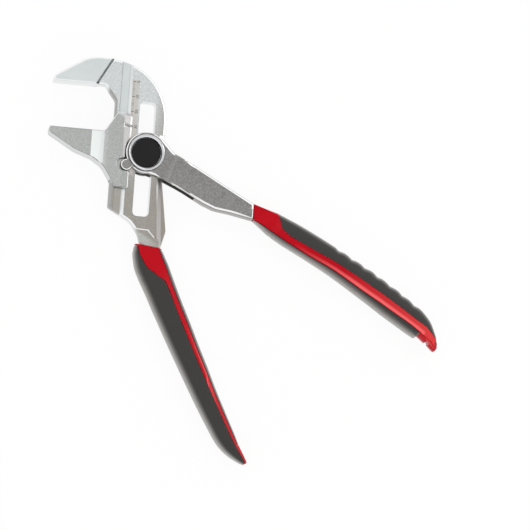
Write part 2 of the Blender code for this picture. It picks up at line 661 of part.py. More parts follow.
def make_sliding_jaw(steel):
    half_head = HEAD_THICKNESS / 2
    half_tip = JAW_TIP_THICKNESS / 2
    jaw = slab("sliding_jaw", sliding_outline(), MID - half_head, MID + half_head, FINE_EDGE, steel)

    for side in (1, -1):
        # Both faces fall by a ramp to the thinner tip
        section = [
            (-SLIDING_REACH - OVERRUN, MID + side * half_tip),
            (-RAMP_START, MID + side * half_tip),
            (-RAMP_END, MID + side * half_head),
            (-RAMP_END, MID + side * (half_head + OVERRUN)),
            (-SLIDING_REACH - OVERRUN, MID + side * (half_head + OVERRUN)),
        ]
        cut(jaw, wedge(f"ramp_cutter_{side + 1}", section, (0, -CHEEK_BOTTOM - OVERRUN), (0, 1), (1, 0),
                       CHEEK_BOTTOM + CHEEK_TOP + SHOULDER_RISE))

        # Chamfer down the right edge of the cheek, and the index mark on it
        chamfer = [
            (-CHEEK_RIGHT - CHAMFER_WIDTH, MID + side * half_head),
            (-CHEEK_RIGHT, MID + side * (half_head - CHAMFER_DEPTH)),
            (-CHEEK_RIGHT + OVERRUN, MID + side * (half_head - CHAMFER_DEPTH)),
            (-CHEEK_RIGHT + OVERRUN, MID + side * (half_head + OVERRUN)),
            (-CHEEK_RIGHT - CHAMFER_WIDTH, MID + side * (half_head + OVERRUN)),
        ]
        cut(jaw, wedge(f"chamfer_cutter_{side + 1}", chamfer, (0, -CHEEK_BOTTOM - OVERRUN), (0, 1), (1, 0),
                       CHEEK_BOTTOM + CHEEK_TOP + SHOULDER_RISE))
        mark = [
            (-CHEEK_RIGHT - CHAMFER_WIDTH, SLIDING_FACE + SHOULDER_RISE * 0.32),
            (-CHEEK_RIGHT + OVERRUN, SLIDING_FACE + SHOULDER_RISE * 0.26),
            (-CHEEK_RIGHT + OVERRUN, SLIDING_FACE + SHOULDER_RISE * 0.26 + EDGE),
            (-CHEEK_RIGHT - CHAMFER_WIDTH, SLIDING_FACE + SHOULDER_RISE * 0.32 + EDGE)]
        inner, outer = sorted((MID + side * (half_head - CHAMFER_DEPTH - INDEX_DEPTH),
                               MID + side * (half_head + OVERRUN)))
        cut(jaw, slab(f"index_cutter_{side + 1}", mark, inner, outer))

    # Channel for the bar, widened where the fixed jaw's throat comes down
    left = BAR_LEFT + GAP
    throat_at_top = JAW_FACE - TRAVEL_UP - STROKE_UP
    channel = [
        (OVERRUN, -CHEEK_BOTTOM - OVERRUN),
        (OVERRUN, CHEEK_TOP + SHOULDER_RISE),
        (-THROAT_REACH - THROAT_RADIUS, CHEEK_TOP + SHOULDER_RISE),
        (-THROAT_REACH - THROAT_RADIUS, throat_at_top - GAP),
        (-left - GAP, throat_at_top - THROAT_DROP - THROAT_RADIUS),
        (-left, throat_at_top - THROAT_DROP - THROAT_RADIUS * 2),
        (-left, -CHEEK_BOTTOM - OVERRUN)]
    cut(jaw, slab("channel_cutter_jaw", channel, MID - CHEEK_INNER, MID + CHEEK_INNER))

    # Seat for the lever's round head over the whole stroke, and a pocket for its nose
    seat = HEAD_RADIUS + HEAD_CLEARANCE
    open_drop = JAW_RATIO * LEVER_OPEN
    steps = 28
    seat_outline = (arc((0, open_drop), seat, 0, math.pi, steps)
                    + arc((0, -STROKE_UP), seat, math.pi, 2 * math.pi, steps))
    cut(jaw, slab("head_seat_cutter", seat_outline, MID - half_head - OVERRUN, MID + half_head + OVERRUN))
    cut(jaw, slab("nose_pocket_cutter", nose_pocket_outline(), MID - half_head - OVERRUN,
                  MID + half_head + OVERRUN))

    # Tongues that run in the bar's grooves
    depth = BAR_THICKNESS / 2 - GROOVE_DEPTH + GAP
    slant = (GROOVE_FLOOR_RIGHT - GROOVE_RIGHT) / GROOVE_DEPTH
    right = -GROOVE_FLOOR_RIGHT - GAP + slant * (CHEEK_INNER - depth)
    for side in (1, -1):
        section = [
            (-GROOVE_LEFT + GAP, MID + side * (CHEEK_INNER + FINE_EDGE)),
            (-GROOVE_LEFT + GAP, MID + side * depth),
            (-GROOVE_FLOOR_RIGHT - GAP, MID + side * depth),
            (right, MID + side * CHEEK_INNER),
            (right, MID + side * (CHEEK_INNER + FINE_EDGE)),
        ]
        bottom = -CHEEK_BOTTOM + EDGE
        below_nose = NOSE.y - NOSE_RADIUS - NOSE_PLAY - EDGE
        above_head = seat * math.sin(math.acos(min(1, GROOVE_RIGHT / seat))) + EDGE
        fuse(jaw, wedge(f"lower_tongue_{side + 1}", section, (0, bottom), (0, 1), (1, 0),
                        below_nose - bottom))
        fuse(jaw, wedge(f"upper_tongue_{side + 1}", section, (0, above_head), (0, 1), (1, 0),
                        CHEEK_TOP - EDGE * 2 - above_head))
    return jaw


def nose_pocket_outline():
    """The room that the nose sweeps through as the lever closes and the jaw climbs with it."""
    closed = turn(NOSE, -LEVER_CLOSE) - Vector((0, STROKE_UP))
    room = NOSE_RADIUS + NOSE_PLAY
    high = max(NOSE.y, closed.y) + room
    low = min(NOSE.y, closed.y) - room
    left = closed.x - room
    return rounded([(0, low, 0), (0, high, 0), (left, high, room * 0.9), (left, low, room * 0.9)])


# Lever

def head_outline():
    """Round head with its nose, in one closed line."""
    over = HEAD_RADIUS ** 2 - NOSE_RADIUS ** 2
    cosine = (NOSE_DISTANCE ** 2 + over) / (2 * HEAD_RADIUS * NOSE_DISTANCE)
    head_angle = math.acos(min(1, cosine))
    cosine = (NOSE_DISTANCE ** 2 - over) / (2 * NOSE_RADIUS * NOSE_DISTANCE)
    nose_angle = math.acos(max(-1, min(1, cosine)))
    head = arc((0, 0), HEAD_RADIUS, NOSE_ANGLE + head_angle, NOSE_ANGLE + 2 * math.pi - head_angle, 40)
    nose_start = NOSE_ANGLE + math.pi
    nose = arc(NOSE, NOSE_RADIUS, nose_start + nose_angle, nose_start + 2 * math.pi - nose_angle, 14)
    return head + nose[1:-1]


def shank_outline():
    """The lever from its head to its grip."""
    along = Vector((math.cos(SHANK_ANGLE), math.sin(SHANK_ANGLE)))
    up = Vector((-along.y, along.x))
    end = SHANK_LENGTH - GAP

    def place(distance, side, radius=0):
        point = along * distance + up * side
        return (point.x, point.y, radius)

    half = SHANK_ROOT_WIDTH / 2
    face = Vector((math.cos(LEVER_FACE_ANGLE), math.sin(LEVER_FACE_ANGLE)))
    lower = [place(end * a, half * b, SHANK_BELLY / 2) for a, b in SHANK_LOWER_SHARES]
    upper = [place(end * a, half * b, SHANK_BELLY / 2) for a, b in SHANK_UPPER_SHARES]
    upper[-1] = place(end * SHANK_UPPER_SHARES[-1][0], half * SHANK_UPPER_SHARES[-1][1], SHANK_EDGE * 1.5)
    corner = along * SHANK_LENGTH - face * GAP
    rise = Vector((-face.y, face.x)) * (SHANK_END_WIDTH / 2)
    lower[-1] = (*(corner - rise), 0)
    upper[0] = (*(corner + rise), 0)
    side = HEAD_RADIUS - EDGE
    return rounded([place(0, -side), *lower, *upper, place(0, side)])


def make_lever(steel):
    half_head = HEAD_THICKNESS / 2
    lever = slab("lever", head_outline(), MID - half_head, MID + half_head, EDGE, steel)
    along = Vector((math.cos(SHANK_ANGLE), math.sin(SHANK_ANGLE)))
    across = Vector((-along.y, along.x))
    thin = SHANK_THICKNESS / 2
    root = slab("lever_root", shank_outline(), MID - half_head, MID + half_head, SHANK_EDGE)
    for side in (1, -1):
        # The root falls from the head's thickness to the shank's
        section_points = [
            (HEAD_RADIUS * 1.25, half_head),
            (SHANK_BELLY, thin - SHANK_EDGE),
            (SHANK_LENGTH + OVERRUN * 2, thin - SHANK_EDGE),
            (SHANK_LENGTH + OVERRUN * 2, half_head + OVERRUN),
            (HEAD_RADIUS * 1.25, half_head + OVERRUN),
        ]
        section = [(distance, MID + side * height) for distance, height in section_points]
        cut(root, wedge(f"shank_cutter_{side + 1}", section, -across * HEAD_RADIUS * 2, across, along,
                        HEAD_RADIUS * 4))
    fuse(lever, root)
    fuse(lever, slab("lever_shank", shank_outline(), MID - thin, MID + thin, SHANK_EDGE))

    # Fork that straddles the bar
    fork = []
    for share, side in FORK_SHARES:
        point = along * (FORK_REACH * share) + across * (HEAD_RADIUS * side)
        fork.append((point.x, point.y))
    cut(lever, slab("fork_cutter", fork, MID - CHEEK_INNER, MID + CHEEK_INNER))
    cut(lever, turned("bore_cutter", [
        (0, -OVERRUN), (HEAD_BORE, -OVERRUN), (HEAD_BORE, HEAD_THICKNESS + OVERRUN),
        (0, HEAD_THICKNESS + OVERRUN)], steps=56))

    overlap = OVERRUN / LEVER_GRIP_LENGTH
    fuse(lever, tang("lever_tang", lever_axis(), -overlap, TANG_LENGTH_SHARE))
    return lever


# Pivot

def make_pivot_sleeve(steel):
    """The block in the slot, the flange under the button and the stub for the rear cap."""
    _, block_low, block_high, _ = lock_levels()
    front = MID + CHEEK_INNER
    flange_top = front + FLANGE_THICKNESS
    flange = HEAD_BORE - GAP - BEZEL_WALL - GAP
    back = MID - BAR_THICKNESS / 2
    corner = SLOT_CORNER - GAP
    block = rounded([
        (-SLOT_LEFT + GAP, -SLEEVE_BLOCK / 2, corner), (SLOT_RIGHT - GAP, -SLEEVE_BLOCK / 2, corner),
        (SLOT_RIGHT - GAP, SLEEVE_BLOCK / 2, corner), (-SLOT_LEFT + GAP, SLEEVE_BLOCK / 2, corner)])
    sleeve = slab("pivot_sleeve", block, back, front + FLANGE_THICKNESS / 2, material=steel)
    stub_radius = min(STUB_RADIUS, SLOT_RIGHT - GAP)
    fuse(sleeve, turned("stub", [
        (0, CAP_WALL + GAP), (stub_radius, CAP_WALL + GAP), (stub_radius, MID), (0, MID)]))
    fuse(sleeve, turned("flange", [(0, front), (flange, front), (flange, flange_top), (0, flange_top)]))

    bore = BOLT_RADIUS + GAP
    cut(sleeve, turned("bolt_bore_cutter", [(0, 0), (bore, 0), (bore, flange_top + OVERRUN),
                                            (0, flange_top + OVERRUN)], steps=32))
    half = lock_half_length() + GAP
    window = [(-SLOT_LEFT - OVERRUN, -half), (0, -half), (0, half), (-SLOT_LEFT - OVERRUN, half)]
    cut(sleeve, slab("window_cutter", window, block_low - GAP, block_high + BUTTON_TRAVEL + GAP))
    return sleeve


def lock_half_length():
    return ((LOCK_TEETH - 1) + TOOTH_ROOT_SHARE) / 2 * TOOTH_PITCH


def make_lock_bolt(steel):
    """A round bolt with a toothed block on the side of the rack, and a stud for the button."""
    _, block_low, block_high, _ = lock_levels()
    stud_top = button_low() + BUTTON_THICKNESS / 2
    neck = button_low() - GAP
    bolt = turned("lock_bolt", [
        (0, block_low), (BOLT_RADIUS, block_low), (BOLT_RADIUS, neck), (STUD_RADIUS, neck),
        (STUD_RADIUS, stud_top), (0, stud_top)], steel, steps=28)
    root = -SLOT_LEFT + GAP
    depth = TOOTH_DEPTH
    half = lock_half_length()
    outline = [(-BOLT_RADIUS / 2, half), (-BOLT_RADIUS / 2, -half)]
    for k in range(LOCK_TEETH):
        for share, y in tooth_sides((k - (LOCK_TEETH - 1) / 2) * TOOTH_PITCH, 0):
            outline.append((root - (depth - GAP) * share - GAP * share, y))
    fuse(bolt, slab("lock_block", outline, block_low, block_high))
    return bolt


def button_low():
    return MID + CHEEK_INNER + FLANGE_THICKNESS + GAP


def make_button_cap(plastic):
    low = button_low()
    high = low + BUTTON_THICKNESS
    edge = FINE_EDGE
    radius = BUTTON_RADIUS
    hole = STUD_RADIUS + GAP
    roof = low + BUTTON_THICKNESS / 2 + GAP
    return turned("button_cap", [
        (hole, low), (radius, low), (radius, high - edge), (radius - edge, high - edge / 4),
        (radius * 0.86, high), (radius * 0.5, high - edge * 0.35), (0, high - edge * 0.5), (0, roof),
        (hole, roof)], plastic)


def make_button_bezel(steel):
    """The polished ring that stands in the front cheek's bore round the button."""
    outer = HEAD_BORE - GAP
    inner = outer - BEZEL_WALL
    low = MID + CHEEK_INNER
    high = low + BEZEL_HEIGHT
    edge = FINE_EDGE
    return turned("button_bezel", [
        (inner, low), (outer, low), (outer, high - edge), (outer - edge * 0.3, high - edge * 0.3),
        (outer - edge, high), (inner + edge * 1.6, high), (inner, high - edge * 1.6)], steel, steps=56)


def make_rear_cap(steel):
    """The disc in the rear cheek's bore, held on the stub by a snap ring."""
    outer = HEAD_BORE - GAP
    hole = min(STUB_RADIUS, SLOT_RIGHT - GAP) + GAP
    top = MID - CHEEK_INNER
    groove = top - FLANGE_THICKNESS + GAP
    ring = hole + SNAP_RING_WIRE + GAP
    return turned("rear_cap", [
        (0, 0), (outer - FINE_EDGE, 0), (outer, FINE_EDGE), (outer, top), (ring, top), (ring, groove - GAP),
        (hole, groove - GAP), (hole, CAP_WALL), (0, CAP_WALL)], steel)


def make_snap_ring(steel):
    """An open ring of square wire between the rear cap and the stub."""
    hole = min(STUB_RADIUS, SLOT_RIGHT - GAP) + GAP
    top = MID - CHEEK_INNER - GAP
    low = MID - CHEEK_INNER - FLANGE_THICKNESS + GAP
    opening = math.radians(28)
    outer = arc((0, 0), hole + SNAP_RING_WIRE, opening, 2 * math.pi - opening, 28)
    inner = arc((0, 0), hole, 2 * math.pi - opening, opening, 28)
    return slab("snap_ring", outer + inner, low, top, material=steel)


def make_button_spring(steel):
    """A coil between the rear cap and the lock bolt."""
    block_low = lock_levels()[1]
    radius = BOLT_RADIUS - SPRING_WIRE / 2 - GAP
    bottom = CAP_WALL + GAP + SPRING_WIRE / 2
    top = block_low - GAP - SPRING_WIRE / 2
    build = bmesh.new()
    sides = 6
    steps = round(SPRING_TURNS * 14)
    climb = (top - bottom) / steps
    loops = []
    for i in range(steps + 1):
        angle = 2 * math.pi * SPRING_TURNS * i / steps
        outward = Vector((math.cos(angle), math.sin(angle), 0))
        centre = outward * radius + Vector((0, 0, bottom + climb * i))
        ring = arc((0, 0), SPRING_WIRE / 2, 0, 2 * math.pi * (sides - 1) / sides, sides - 1)
        loops.append([build.verts.new(centre + outward * u + Vector((0, 0, v))) for u, v in ring])
    close_loops(build, loops)
    return add_object("button_spring", build, steel)


# Grips

def table_row(rows, share):
    """The table's row at a share of the length, with a smooth passage from row to row."""
    for before, after in zip(rows, rows[1:]):
        if share <= after[0]:
            t = (share - before[0]) / (after[0] - before[0])
            t = (t * t * (3 - 2 * t) + t) / 2
            return [a + (b - a) * t for a, b in zip(before[1:], after[1:])]
    return rows[-1][1:]


def stations(rows):
    """Shares of the length where sections stand, closer where a pad's edge crosses the grip."""
    places = [rows[0][0]]
    for before, after in zip(rows, rows[1:]):
        swing = max(abs(after[2] - before[2]), abs(after[3] - before[3]))
        steps = max(1, round((after[0] - before[0]) * GRIP_STATIONS), round(swing * GRIP_STATIONS))
        places += [before[0] + (after[0] - before[0]) * (i + 1) / steps for i in range(steps)]
    return places


def grip_row(rows, share):
    """The row of the core and of both pads, which change together at the same few stations."""
    places = stations(rows)
    share = min(max(share, places[0]), places[-1])
    for first, last in zip(places, places[1:]):
        if share <= last:
            t = (share - first) / (last - first)
            return [a + (b - a) * t for a, b in zip(table_row(rows, first), table_row(rows, last))]
    return table_row(rows, places[-1])


class Section:
    """One cross-section of a grip: a rounded oblong between its outer and its inner side."""

    POWER = 2.7

    def __init__(self, row, outer_shrink=0.0):
        outer, outer_edge, inner_edge, inner, thickness = row
        self.outer = GRIP_WIDTH * outer - outer_shrink
        self.inner = GRIP_WIDTH * inner
        self.outer_edge = GRIP_WIDTH * outer_edge
        self.inner_edge = GRIP_WIDTH * inner_edge
        self.middle = (self.outer + self.inner) / 2
        self.half = HEAD_THICKNESS / 2 * thickness

    def skin(self, sign):
        """Thickness of the pad on one side, less where the pad is narrow."""
        width = self.outer - self.outer_edge if sign > 0 else self.inner_edge - self.inner
        half_width = (self.outer - self.inner) / 2
        return min(PAD_SKIN, max(width, 0) * SKIN_SHARE, half_width * SLIM_SHARE)

    def height(self, across, shrink=0.0):
        """Half thickness at a place across the grip, on the surface or on one that lies deeper."""
        side = (self.outer - self.inner) / 2 - shrink
        share = min(abs(across - self.middle) / side, 1)
        return (self.half - shrink) * (1 - share ** self.POWER) ** (1 / self.POWER)

    def sweep(self, begin, sign, shrink, count):
        """Points from a place across the front, round one side and back across the rear."""
        end = self.outer - shrink if sign > 0 else self.inner + shrink
        places = [begin + (end - begin) * math.sin(math.pi / 2 * i / count) for i in range(count)]
        front = [(u, self.height(u, shrink)) for u in places]
        return front + [(end, 0.0)] + [(u, -z) for u, z in reversed(front)]


def loft(name, axis, sign, sections, material, face_angle):
    """Skins cross-sections (share of length, points across and through) along a grip's middle line."""
    build = bmesh.new()
    loops = []
    for share, points in sections:
        point, slope = axis(share)
        look = facing(slope, share, face_angle)
        side = Vector((-look.y, look.x)) * sign
        loops.append([
            build.verts.new((point.x + side.x * u, point.y + side.y * u, MID + z)) for u, z in points
        ])
    close_loops(build, loops)
    return add_object(name, build, material, math.radians(38))


def pad_sections(rows, span, which, notches=0):
    """C-shaped sections of a soft pad that wraps one side of the core."""
    sign = 1 if which == "outer" else -1
    shares = {share for share in stations(rows) if span[0] < share < span[1]} | set(span)
    for k in range(notches * 3):
        shares.add(NOTCH_SHARES[0] + (NOTCH_SHARES[1] - NOTCH_SHARES[0]) * (k - 1) / 3 / (notches - 1))
    sections = []
    for share in sorted({round(share, 5) for share in shares}):
        dip = 0.0
        if notches:
            phase = (share - NOTCH_SHARES[0]) / (NOTCH_SHARES[1] - NOTCH_SHARES[0]) * (notches - 1)
            if -0.5 < phase < notches - 0.5:
                dip = NOTCH_DEPTH * (0.5 + 0.5 * math.cos(2 * math.pi * phase)) ** 2
        section = Section(grip_row(rows, share))
        edge = (section.outer_edge if sign > 0 else section.inner_edge) + sign * GAP / 2
        outside = Section(grip_row(rows, share), dip).sweep(edge, sign, 0, 4)
        inside = section.sweep(edge, sign, section.skin(sign), 3)
        sections.append((share, outside + inside[::-1]))
    return sections


def core_sections(rows, pads, length, web):
    """Sections of the hard core: full size in its stripe, and thinner where a pad covers it.

    With a web, the core stays thin past the inner pad's end."""
    last_share = rows[-1][0]
    shares = set(stations(rows))
    for which, (first, last) in pads.items():
        begin = max(first - GAP / length, 0)
        shares |= {begin, begin + GAP / length / 3}
        if which == "outer" or not web:
            end = last + GAP / length
            shares |= {end, end - GAP / length / 3}
    sections = []
    for share in sorted(shares):
        section = Section(grip_row(rows, share))
        points = []
        for which, sign in (("outer", 1), ("inner", -1)):
            first, last = pads[which]
            if which == "inner" and web:
                last = last_share
            covered = first - GAP / length < share < last + GAP / length
            deep = section.skin(sign) + GAP if covered else 0
            edge = (section.outer_edge if sign > 0 else section.inner_edge) - sign * GAP / 2
            band = section.height(edge)
            arc_points = section.sweep(edge + sign * GAP / 5, sign, deep, 3)
            points += [(edge, band)] + arc_points + [(edge, -band)] if sign > 0 else \
                [(edge, -band)] + [(u, -z) for u, z in arc_points] + [(edge, band)]
        sections.append((share, points))
    return sections


def make_grip(prefix, axis, sign, length, rows, pads, red, dark, face_angle=None, notches=0, web=False):
    """The hard core with its tang pocket, and the two soft pads."""
    core = loft(f"{prefix}_grip_core", axis, sign, core_sections(rows, pads, length, web), red, face_angle)
    overlap = OVERRUN / length
    cut(core, tang(f"{prefix}_tang_cutter", axis, -overlap, TANG_LENGTH_SHARE + GAP / length, GAP))
    if web:
        point, slope = axis(WEB_HOLE_SHARES[0])
        centre = point + Vector((-slope.y, slope.x)) * (sign * GRIP_WIDTH * WEB_HOLE_SHARES[1])
        cut(core, turned(f"{prefix}_web_hole_cutter", [
            (0, 0), (WEB_HOLE_RADIUS, 0), (WEB_HOLE_RADIUS, HEAD_THICKNESS), (0, HEAD_THICKNESS)],
            steps=16, centre=centre))
    loft(f"{prefix}_grip_outer_pad", axis, sign,
         pad_sections(rows, pads["outer"], "outer", notches), dark, face_angle)
    loft(f"{prefix}_grip_inner_pad", axis, sign,
         pad_sections(rows, pads["inner"], "inner"), dark, face_angle)
    return core


def main():
    clear_scene()
    forged = make_material("forged_steel", (0.62, 0.62, 0.61), 0.38, 1.0)
    ground = make_material("ground_steel", (0.55, 0.55, 0.55), 0.32, 1.0)
    polished = make_material("polished_steel", (0.80, 0.80, 0.80), 0.15, 1.0)
    spring_wire = make_material("spring_wire", (0.45, 0.45, 0.46), 0.35, 1.0)
    black = make_material("black_plastic", (0.012, 0.012, 0.013), 0.45, 0.0)
    red = make_material("red_plastic", (0.60, 0.012, 0.022), 0.35, 0.0)
    dark = make_material("dark_rubber", (0.045, 0.045, 0.048), 0.62, 0.0)

    make_fixed_jaw(forged)
    make_sliding_jaw(ground)
    make_lever(forged)
    make_pivot_sleeve(ground)
    make_lock_bolt(ground)
    make_button_cap(black)
    make_button_bezel(polished)
    make_rear_cap(ground)
    make_snap_ring(spring_wire)
    make_button_spring(spring_wire)
    make_grip("fixed", fixed_axis(), -1, FIXED_GRIP_LENGTH, FIXED_GRIP_SHARES, FIXED_PAD_SHARES, red, dark,
              FIXED_FACE_ANGLE)
    make_grip("lever", lever_axis(), 1, LEVER_GRIP_LENGTH, LEVER_GRIP_SHARES, LEVER_PAD_SHARES, red, dark,
              LEVER_FACE_ANGLE, NOTCHES, True)


main()
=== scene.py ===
import math

import bmesh
import bpy
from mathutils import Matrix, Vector


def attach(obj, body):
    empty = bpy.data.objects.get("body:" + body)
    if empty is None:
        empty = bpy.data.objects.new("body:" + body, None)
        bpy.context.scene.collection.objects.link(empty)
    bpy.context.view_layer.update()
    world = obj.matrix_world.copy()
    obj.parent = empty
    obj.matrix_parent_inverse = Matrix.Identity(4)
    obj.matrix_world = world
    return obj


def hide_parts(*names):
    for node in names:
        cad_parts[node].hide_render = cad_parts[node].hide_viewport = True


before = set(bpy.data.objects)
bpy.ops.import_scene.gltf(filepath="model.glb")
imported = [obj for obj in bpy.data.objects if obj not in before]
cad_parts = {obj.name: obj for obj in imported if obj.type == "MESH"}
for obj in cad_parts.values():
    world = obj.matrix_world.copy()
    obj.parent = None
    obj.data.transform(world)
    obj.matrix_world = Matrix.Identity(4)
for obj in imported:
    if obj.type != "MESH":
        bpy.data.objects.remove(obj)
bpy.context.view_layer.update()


# Camera: a long lens 1.4 m above the tool, a little to its left and below it, as in the photograph.
# From there the jaws, the bar and the grips each show a narrow band of a side face.
CAMERA_PLACE = (-0.1478, -0.2143, 1.3974)
CAMERA_TURN = (math.radians(5.352), math.radians(-9.875), math.radians(3.835))

bpy.ops.object.camera_add(location=CAMERA_PLACE, rotation=CAMERA_TURN)
camera = bpy.context.object
camera.name = "camera"
camera.data.lens = 145.5
camera.data.sensor_width = 36
camera.data.clip_start = 0.01
bpy.context.scene.camera = camera


# Floor and light: a white table top in a white studio. The room is brightest near the floor and dimmer
# overhead, so that rounded steel edges catch a light line. Two wide lamps, one overhead and one on the
# right, give the steel its sheen and the tool its soft shadow.
ROOM_GREYS = ((0.00, 0.85), (0.18, 0.66), (0.45, 0.56), (0.75, 0.60), (0.88, 0.48), (0.97, 0.38))
ROOM_STRENGTH = 1.75
LAMP_TARGET = Vector((0.05, -0.07, 0))
FLOOR_SIZE = 6
FLOOR_LEVEL = -0.0004
FLOOR_GLOW = 0.92


def node(tree, kind, inputs=(), **settings):
    """Adds a node, sets it and fills its inputs with values or with the outputs of other nodes."""
    made = tree.nodes.new(kind)
    for key, value in settings.items():
        setattr(made, key, value)
    for key, value in dict(inputs).items():
        if isinstance(value, bpy.types.NodeSocket):
            tree.links.new(value, made.inputs[key])
        else:
            made.inputs[key].default_value = value
    return made


def ramp(tree, factor, *stops):
    """A colour ramp with stops (place, grey or colour)."""
    made = node(tree, "ShaderNodeValToRGB", {"Fac": factor})
    elements = made.color_ramp.elements
    while len(elements) < len(stops):
        elements.new(0.5)
    for element, (place, colour) in zip(elements, stops):
        element.position = place
        element.color = (*colour, 1) if isinstance(colour, tuple) else (colour, colour, colour, 1)
    return made.outputs["Color"]


def new_material(name, metallic):
    """A material with its node tree and its Principled shader."""
    material = bpy.data.materials.new(name)
    material.use_nodes = True
    shader = material.node_tree.nodes["Principled BSDF"]
    shader.inputs["Metallic"].default_value = metallic
    return material, material.node_tree, shader


world = bpy.data.worlds.new("studio")
bpy.context.scene.world = world
world.use_nodes = True
tree = world.node_tree
tree.nodes.clear()
direction = node(tree, "ShaderNodeTexCoord").outputs["Generated"]
height = node(tree, "ShaderNodeSeparateXYZ", {"Vector": direction}).outputs["Z"]
room_grey = ramp(tree, height, *ROOM_GREYS)
room = node(tree, "ShaderNodeBackground", {"Color": room_grey, "Strength": ROOM_STRENGTH})
white = node(tree, "ShaderNodeBackground", {"Color": (1, 1, 1, 1), "Strength": 1.0})
rays = node(tree, "ShaderNodeLightPath")
backdrop = node(tree, "ShaderNodeMixShader", {
    0: rays.outputs["Is Camera Ray"], 1: room.outputs[0], 2: white.outputs[0]})
node(tree, "ShaderNodeOutputWorld", {"Surface": backdrop.outputs[0]})

for name, spot, size, power in (
        ("overhead_lamp", (-0.38, 0.15, 1.60), (0.30, 1.3), 1.8),
        ("right_lamp", (1.10, 0.55, 0.75), (0.35, 1.3), 2.0)):
    bpy.ops.object.light_add(type="AREA", location=spot)
    lamp = bpy.context.object
    lamp.name = name
    lamp.data.shape = "RECTANGLE"
    lamp.data.size, lamp.data.size_y = size
    lamp.data.energy = power
    lamp.rotation_euler = (LAMP_TARGET - lamp.location).to_track_quat("-Z", "Y").to_euler()

bpy.ops.mesh.primitive_plane_add(size=FLOOR_SIZE, location=(0, 0, FLOOR_LEVEL))
floor = bpy.context.object
floor.name = "floor"
table_white, tree, shader = new_material("table_white", 0.0)
shader.inputs["Base Color"].default_value = (0.94, 0.94, 0.94, 1)
shader.inputs["Roughness"].default_value = 0.8
shader.inputs["Specular IOR Level"].default_value = 0.1
# The camera and the shiny steel see the floor glow, and nothing is lit by that glow
glow = node(tree, "ShaderNodeEmission", {"Color": (1, 1, 1, 1), "Strength": 1.0})
rays = node(tree, "ShaderNodeLightPath")
seen = node(tree, "ShaderNodeMath", operation="MULTIPLY_ADD", inputs={
    0: rays.outputs["Is Camera Ray"], 1: FLOOR_GLOW, 2: rays.outputs["Is Glossy Ray"]})
lit = node(tree, "ShaderNodeMixShader", {0: seen.outputs[0], 1: shader.outputs[0], 2: glow.outputs[0]})
tree.links.new(lit.outputs[0], tree.nodes["Material Output"].inputs["Surface"])
floor.data.materials.append(table_white)


# Fixed jaw: one drop-forged chrome vanadium piece with the slotted bar, its surface pebbled by the die.
# The jaw tip and the guide groove are ground smooth, and all is satin chrome plated.
# Places are in metres from the pivot's axis, and one that has a way is measured along it
STEP_WAY = (0.8779, -0.4789, 0)
STEP_START, STEP_END = -0.0524, -0.0509
GROOVE_LEFT, GROOVE_RIGHT = -0.0192, -0.0122
GROOVE_WALL_FOOT = -0.0144
SHADOW_LINE_START, SHADOW_LINE_END = GROOVE_LEFT - 0.0003, GROOVE_LEFT + 0.0001
SCALE_ZERO = 0.0468
SCALE_RIGHT, SCALE_FOOT = -0.0076, -0.0150
BAR_TOP = 0.0480
BESIDE_SLOT = 0.0085
FLANK_LEFT, FLANK_TOP = 0.0094, -0.0040
THROAT_LEFT, THROAT_RIGHT, THROAT_TOP = -0.0272, -0.0150, 0.0470
GRIPWARD_WAY, GRIPWARD_PLACE = (0.25, -1, 0), -0.004
NECK_WAY, NECK_PLACE = (-0.48, -0.88, 0), 0.0462
OUTER_WAY, OUTER_PLACE = (0.80, 0.60, 0), 0.0270
EDGE_ROUNDING = 0.0002
MERGE_REACH = 0.00001
# Least upward share of the normal of a level face: of a broad one, which stays flat, and of one with a rim
BROAD_RISE, RIM_RISE = 0.97, 0.9
BROAD_AREA = 0.00002
RIM_SLOPE = 0.4

FORGED_GREYS = ((0.38, (0.60, 0.63, 0.63)), (0.62, (0.75, 0.78, 0.78)))
GROUND_GREYS = ((0.3, (0.73, 0.78, 0.78)), (0.7, (0.78, 0.83, 0.83)))
STEP_SHADE_GREYS = ((0.40, (0.13, 0.14, 0.14)), (0.60, (0.30, 0.31, 0.31)))
WHITE = (1.0, 1.0, 1.0)
# Painted shade towards the grip, on the neck and beside the slot
GRIPWARD_SHADE = (0.53, 0.48, 0.44)
NECK_SHADE = (0.71, 0.69, 0.66)
BESIDE_SLOT_SHADE = (0.34, 0.31, 0.27)
SCALE_GREY = (0.60, 0.56, 0.52)
MARK_BLACK = (0.24, 0.22, 0.20)
# Painted highlight of edges and walls, painted shade of some walls, and the groove's painted shadow line
JAW_EDGE_HIGHLIGHT, JAW_WALL_HIGHLIGHT = (0.94, 0.96, 0.96), (0.80, 0.82, 0.82)
FLANK_SHADE = (0.46, 0.44, 0.43)
OUTER_WALL_SHADE = (0.26, 0.26, 0.25)
TOP_WALL_SHADE = (0.42, 0.43, 0.43)
THROAT_SHADE = (0.38, 0.38, 0.37)
NECK_EDGE_SHADE = (0.50, 0.50, 0.49)
GROOVE_WALL_LOW_HIGHLIGHT, GROOVE_WALL_HIGHLIGHT = (0.80, 0.83, 0.83), (0.76, 0.79, 0.79)
GROOVE_SHADOW_LINE_GREY = (0.25, 0.25, 0.24)


def new_group(name, inputs, outputs):
    """A shader node group with named inputs (name, default) and outputs (name, kind)."""
    group = bpy.data.node_groups.new(name, "ShaderNodeTree")
    for label, value in inputs:
        kind = "NodeSocketVector" if isinstance(value, tuple) else "NodeSocketFloat"
        socket = group.interface.new_socket(label, in_out="INPUT", socket_type=kind)
        socket.default_value = value
    for label, kind in outputs:
        group.interface.new_socket(label, in_out="OUTPUT", socket_type=kind)
    return group, node(group, "NodeGroupInput"), node(group, "NodeGroupOutput")


def math_node(tree, operation, a, b=0.0, clamp=False):
    """The result of one operation on two values or outputs."""
    return node(tree, "ShaderNodeMath", {0: a, 1: b}, operation=operation, use_clamp=clamp).outputs[0]


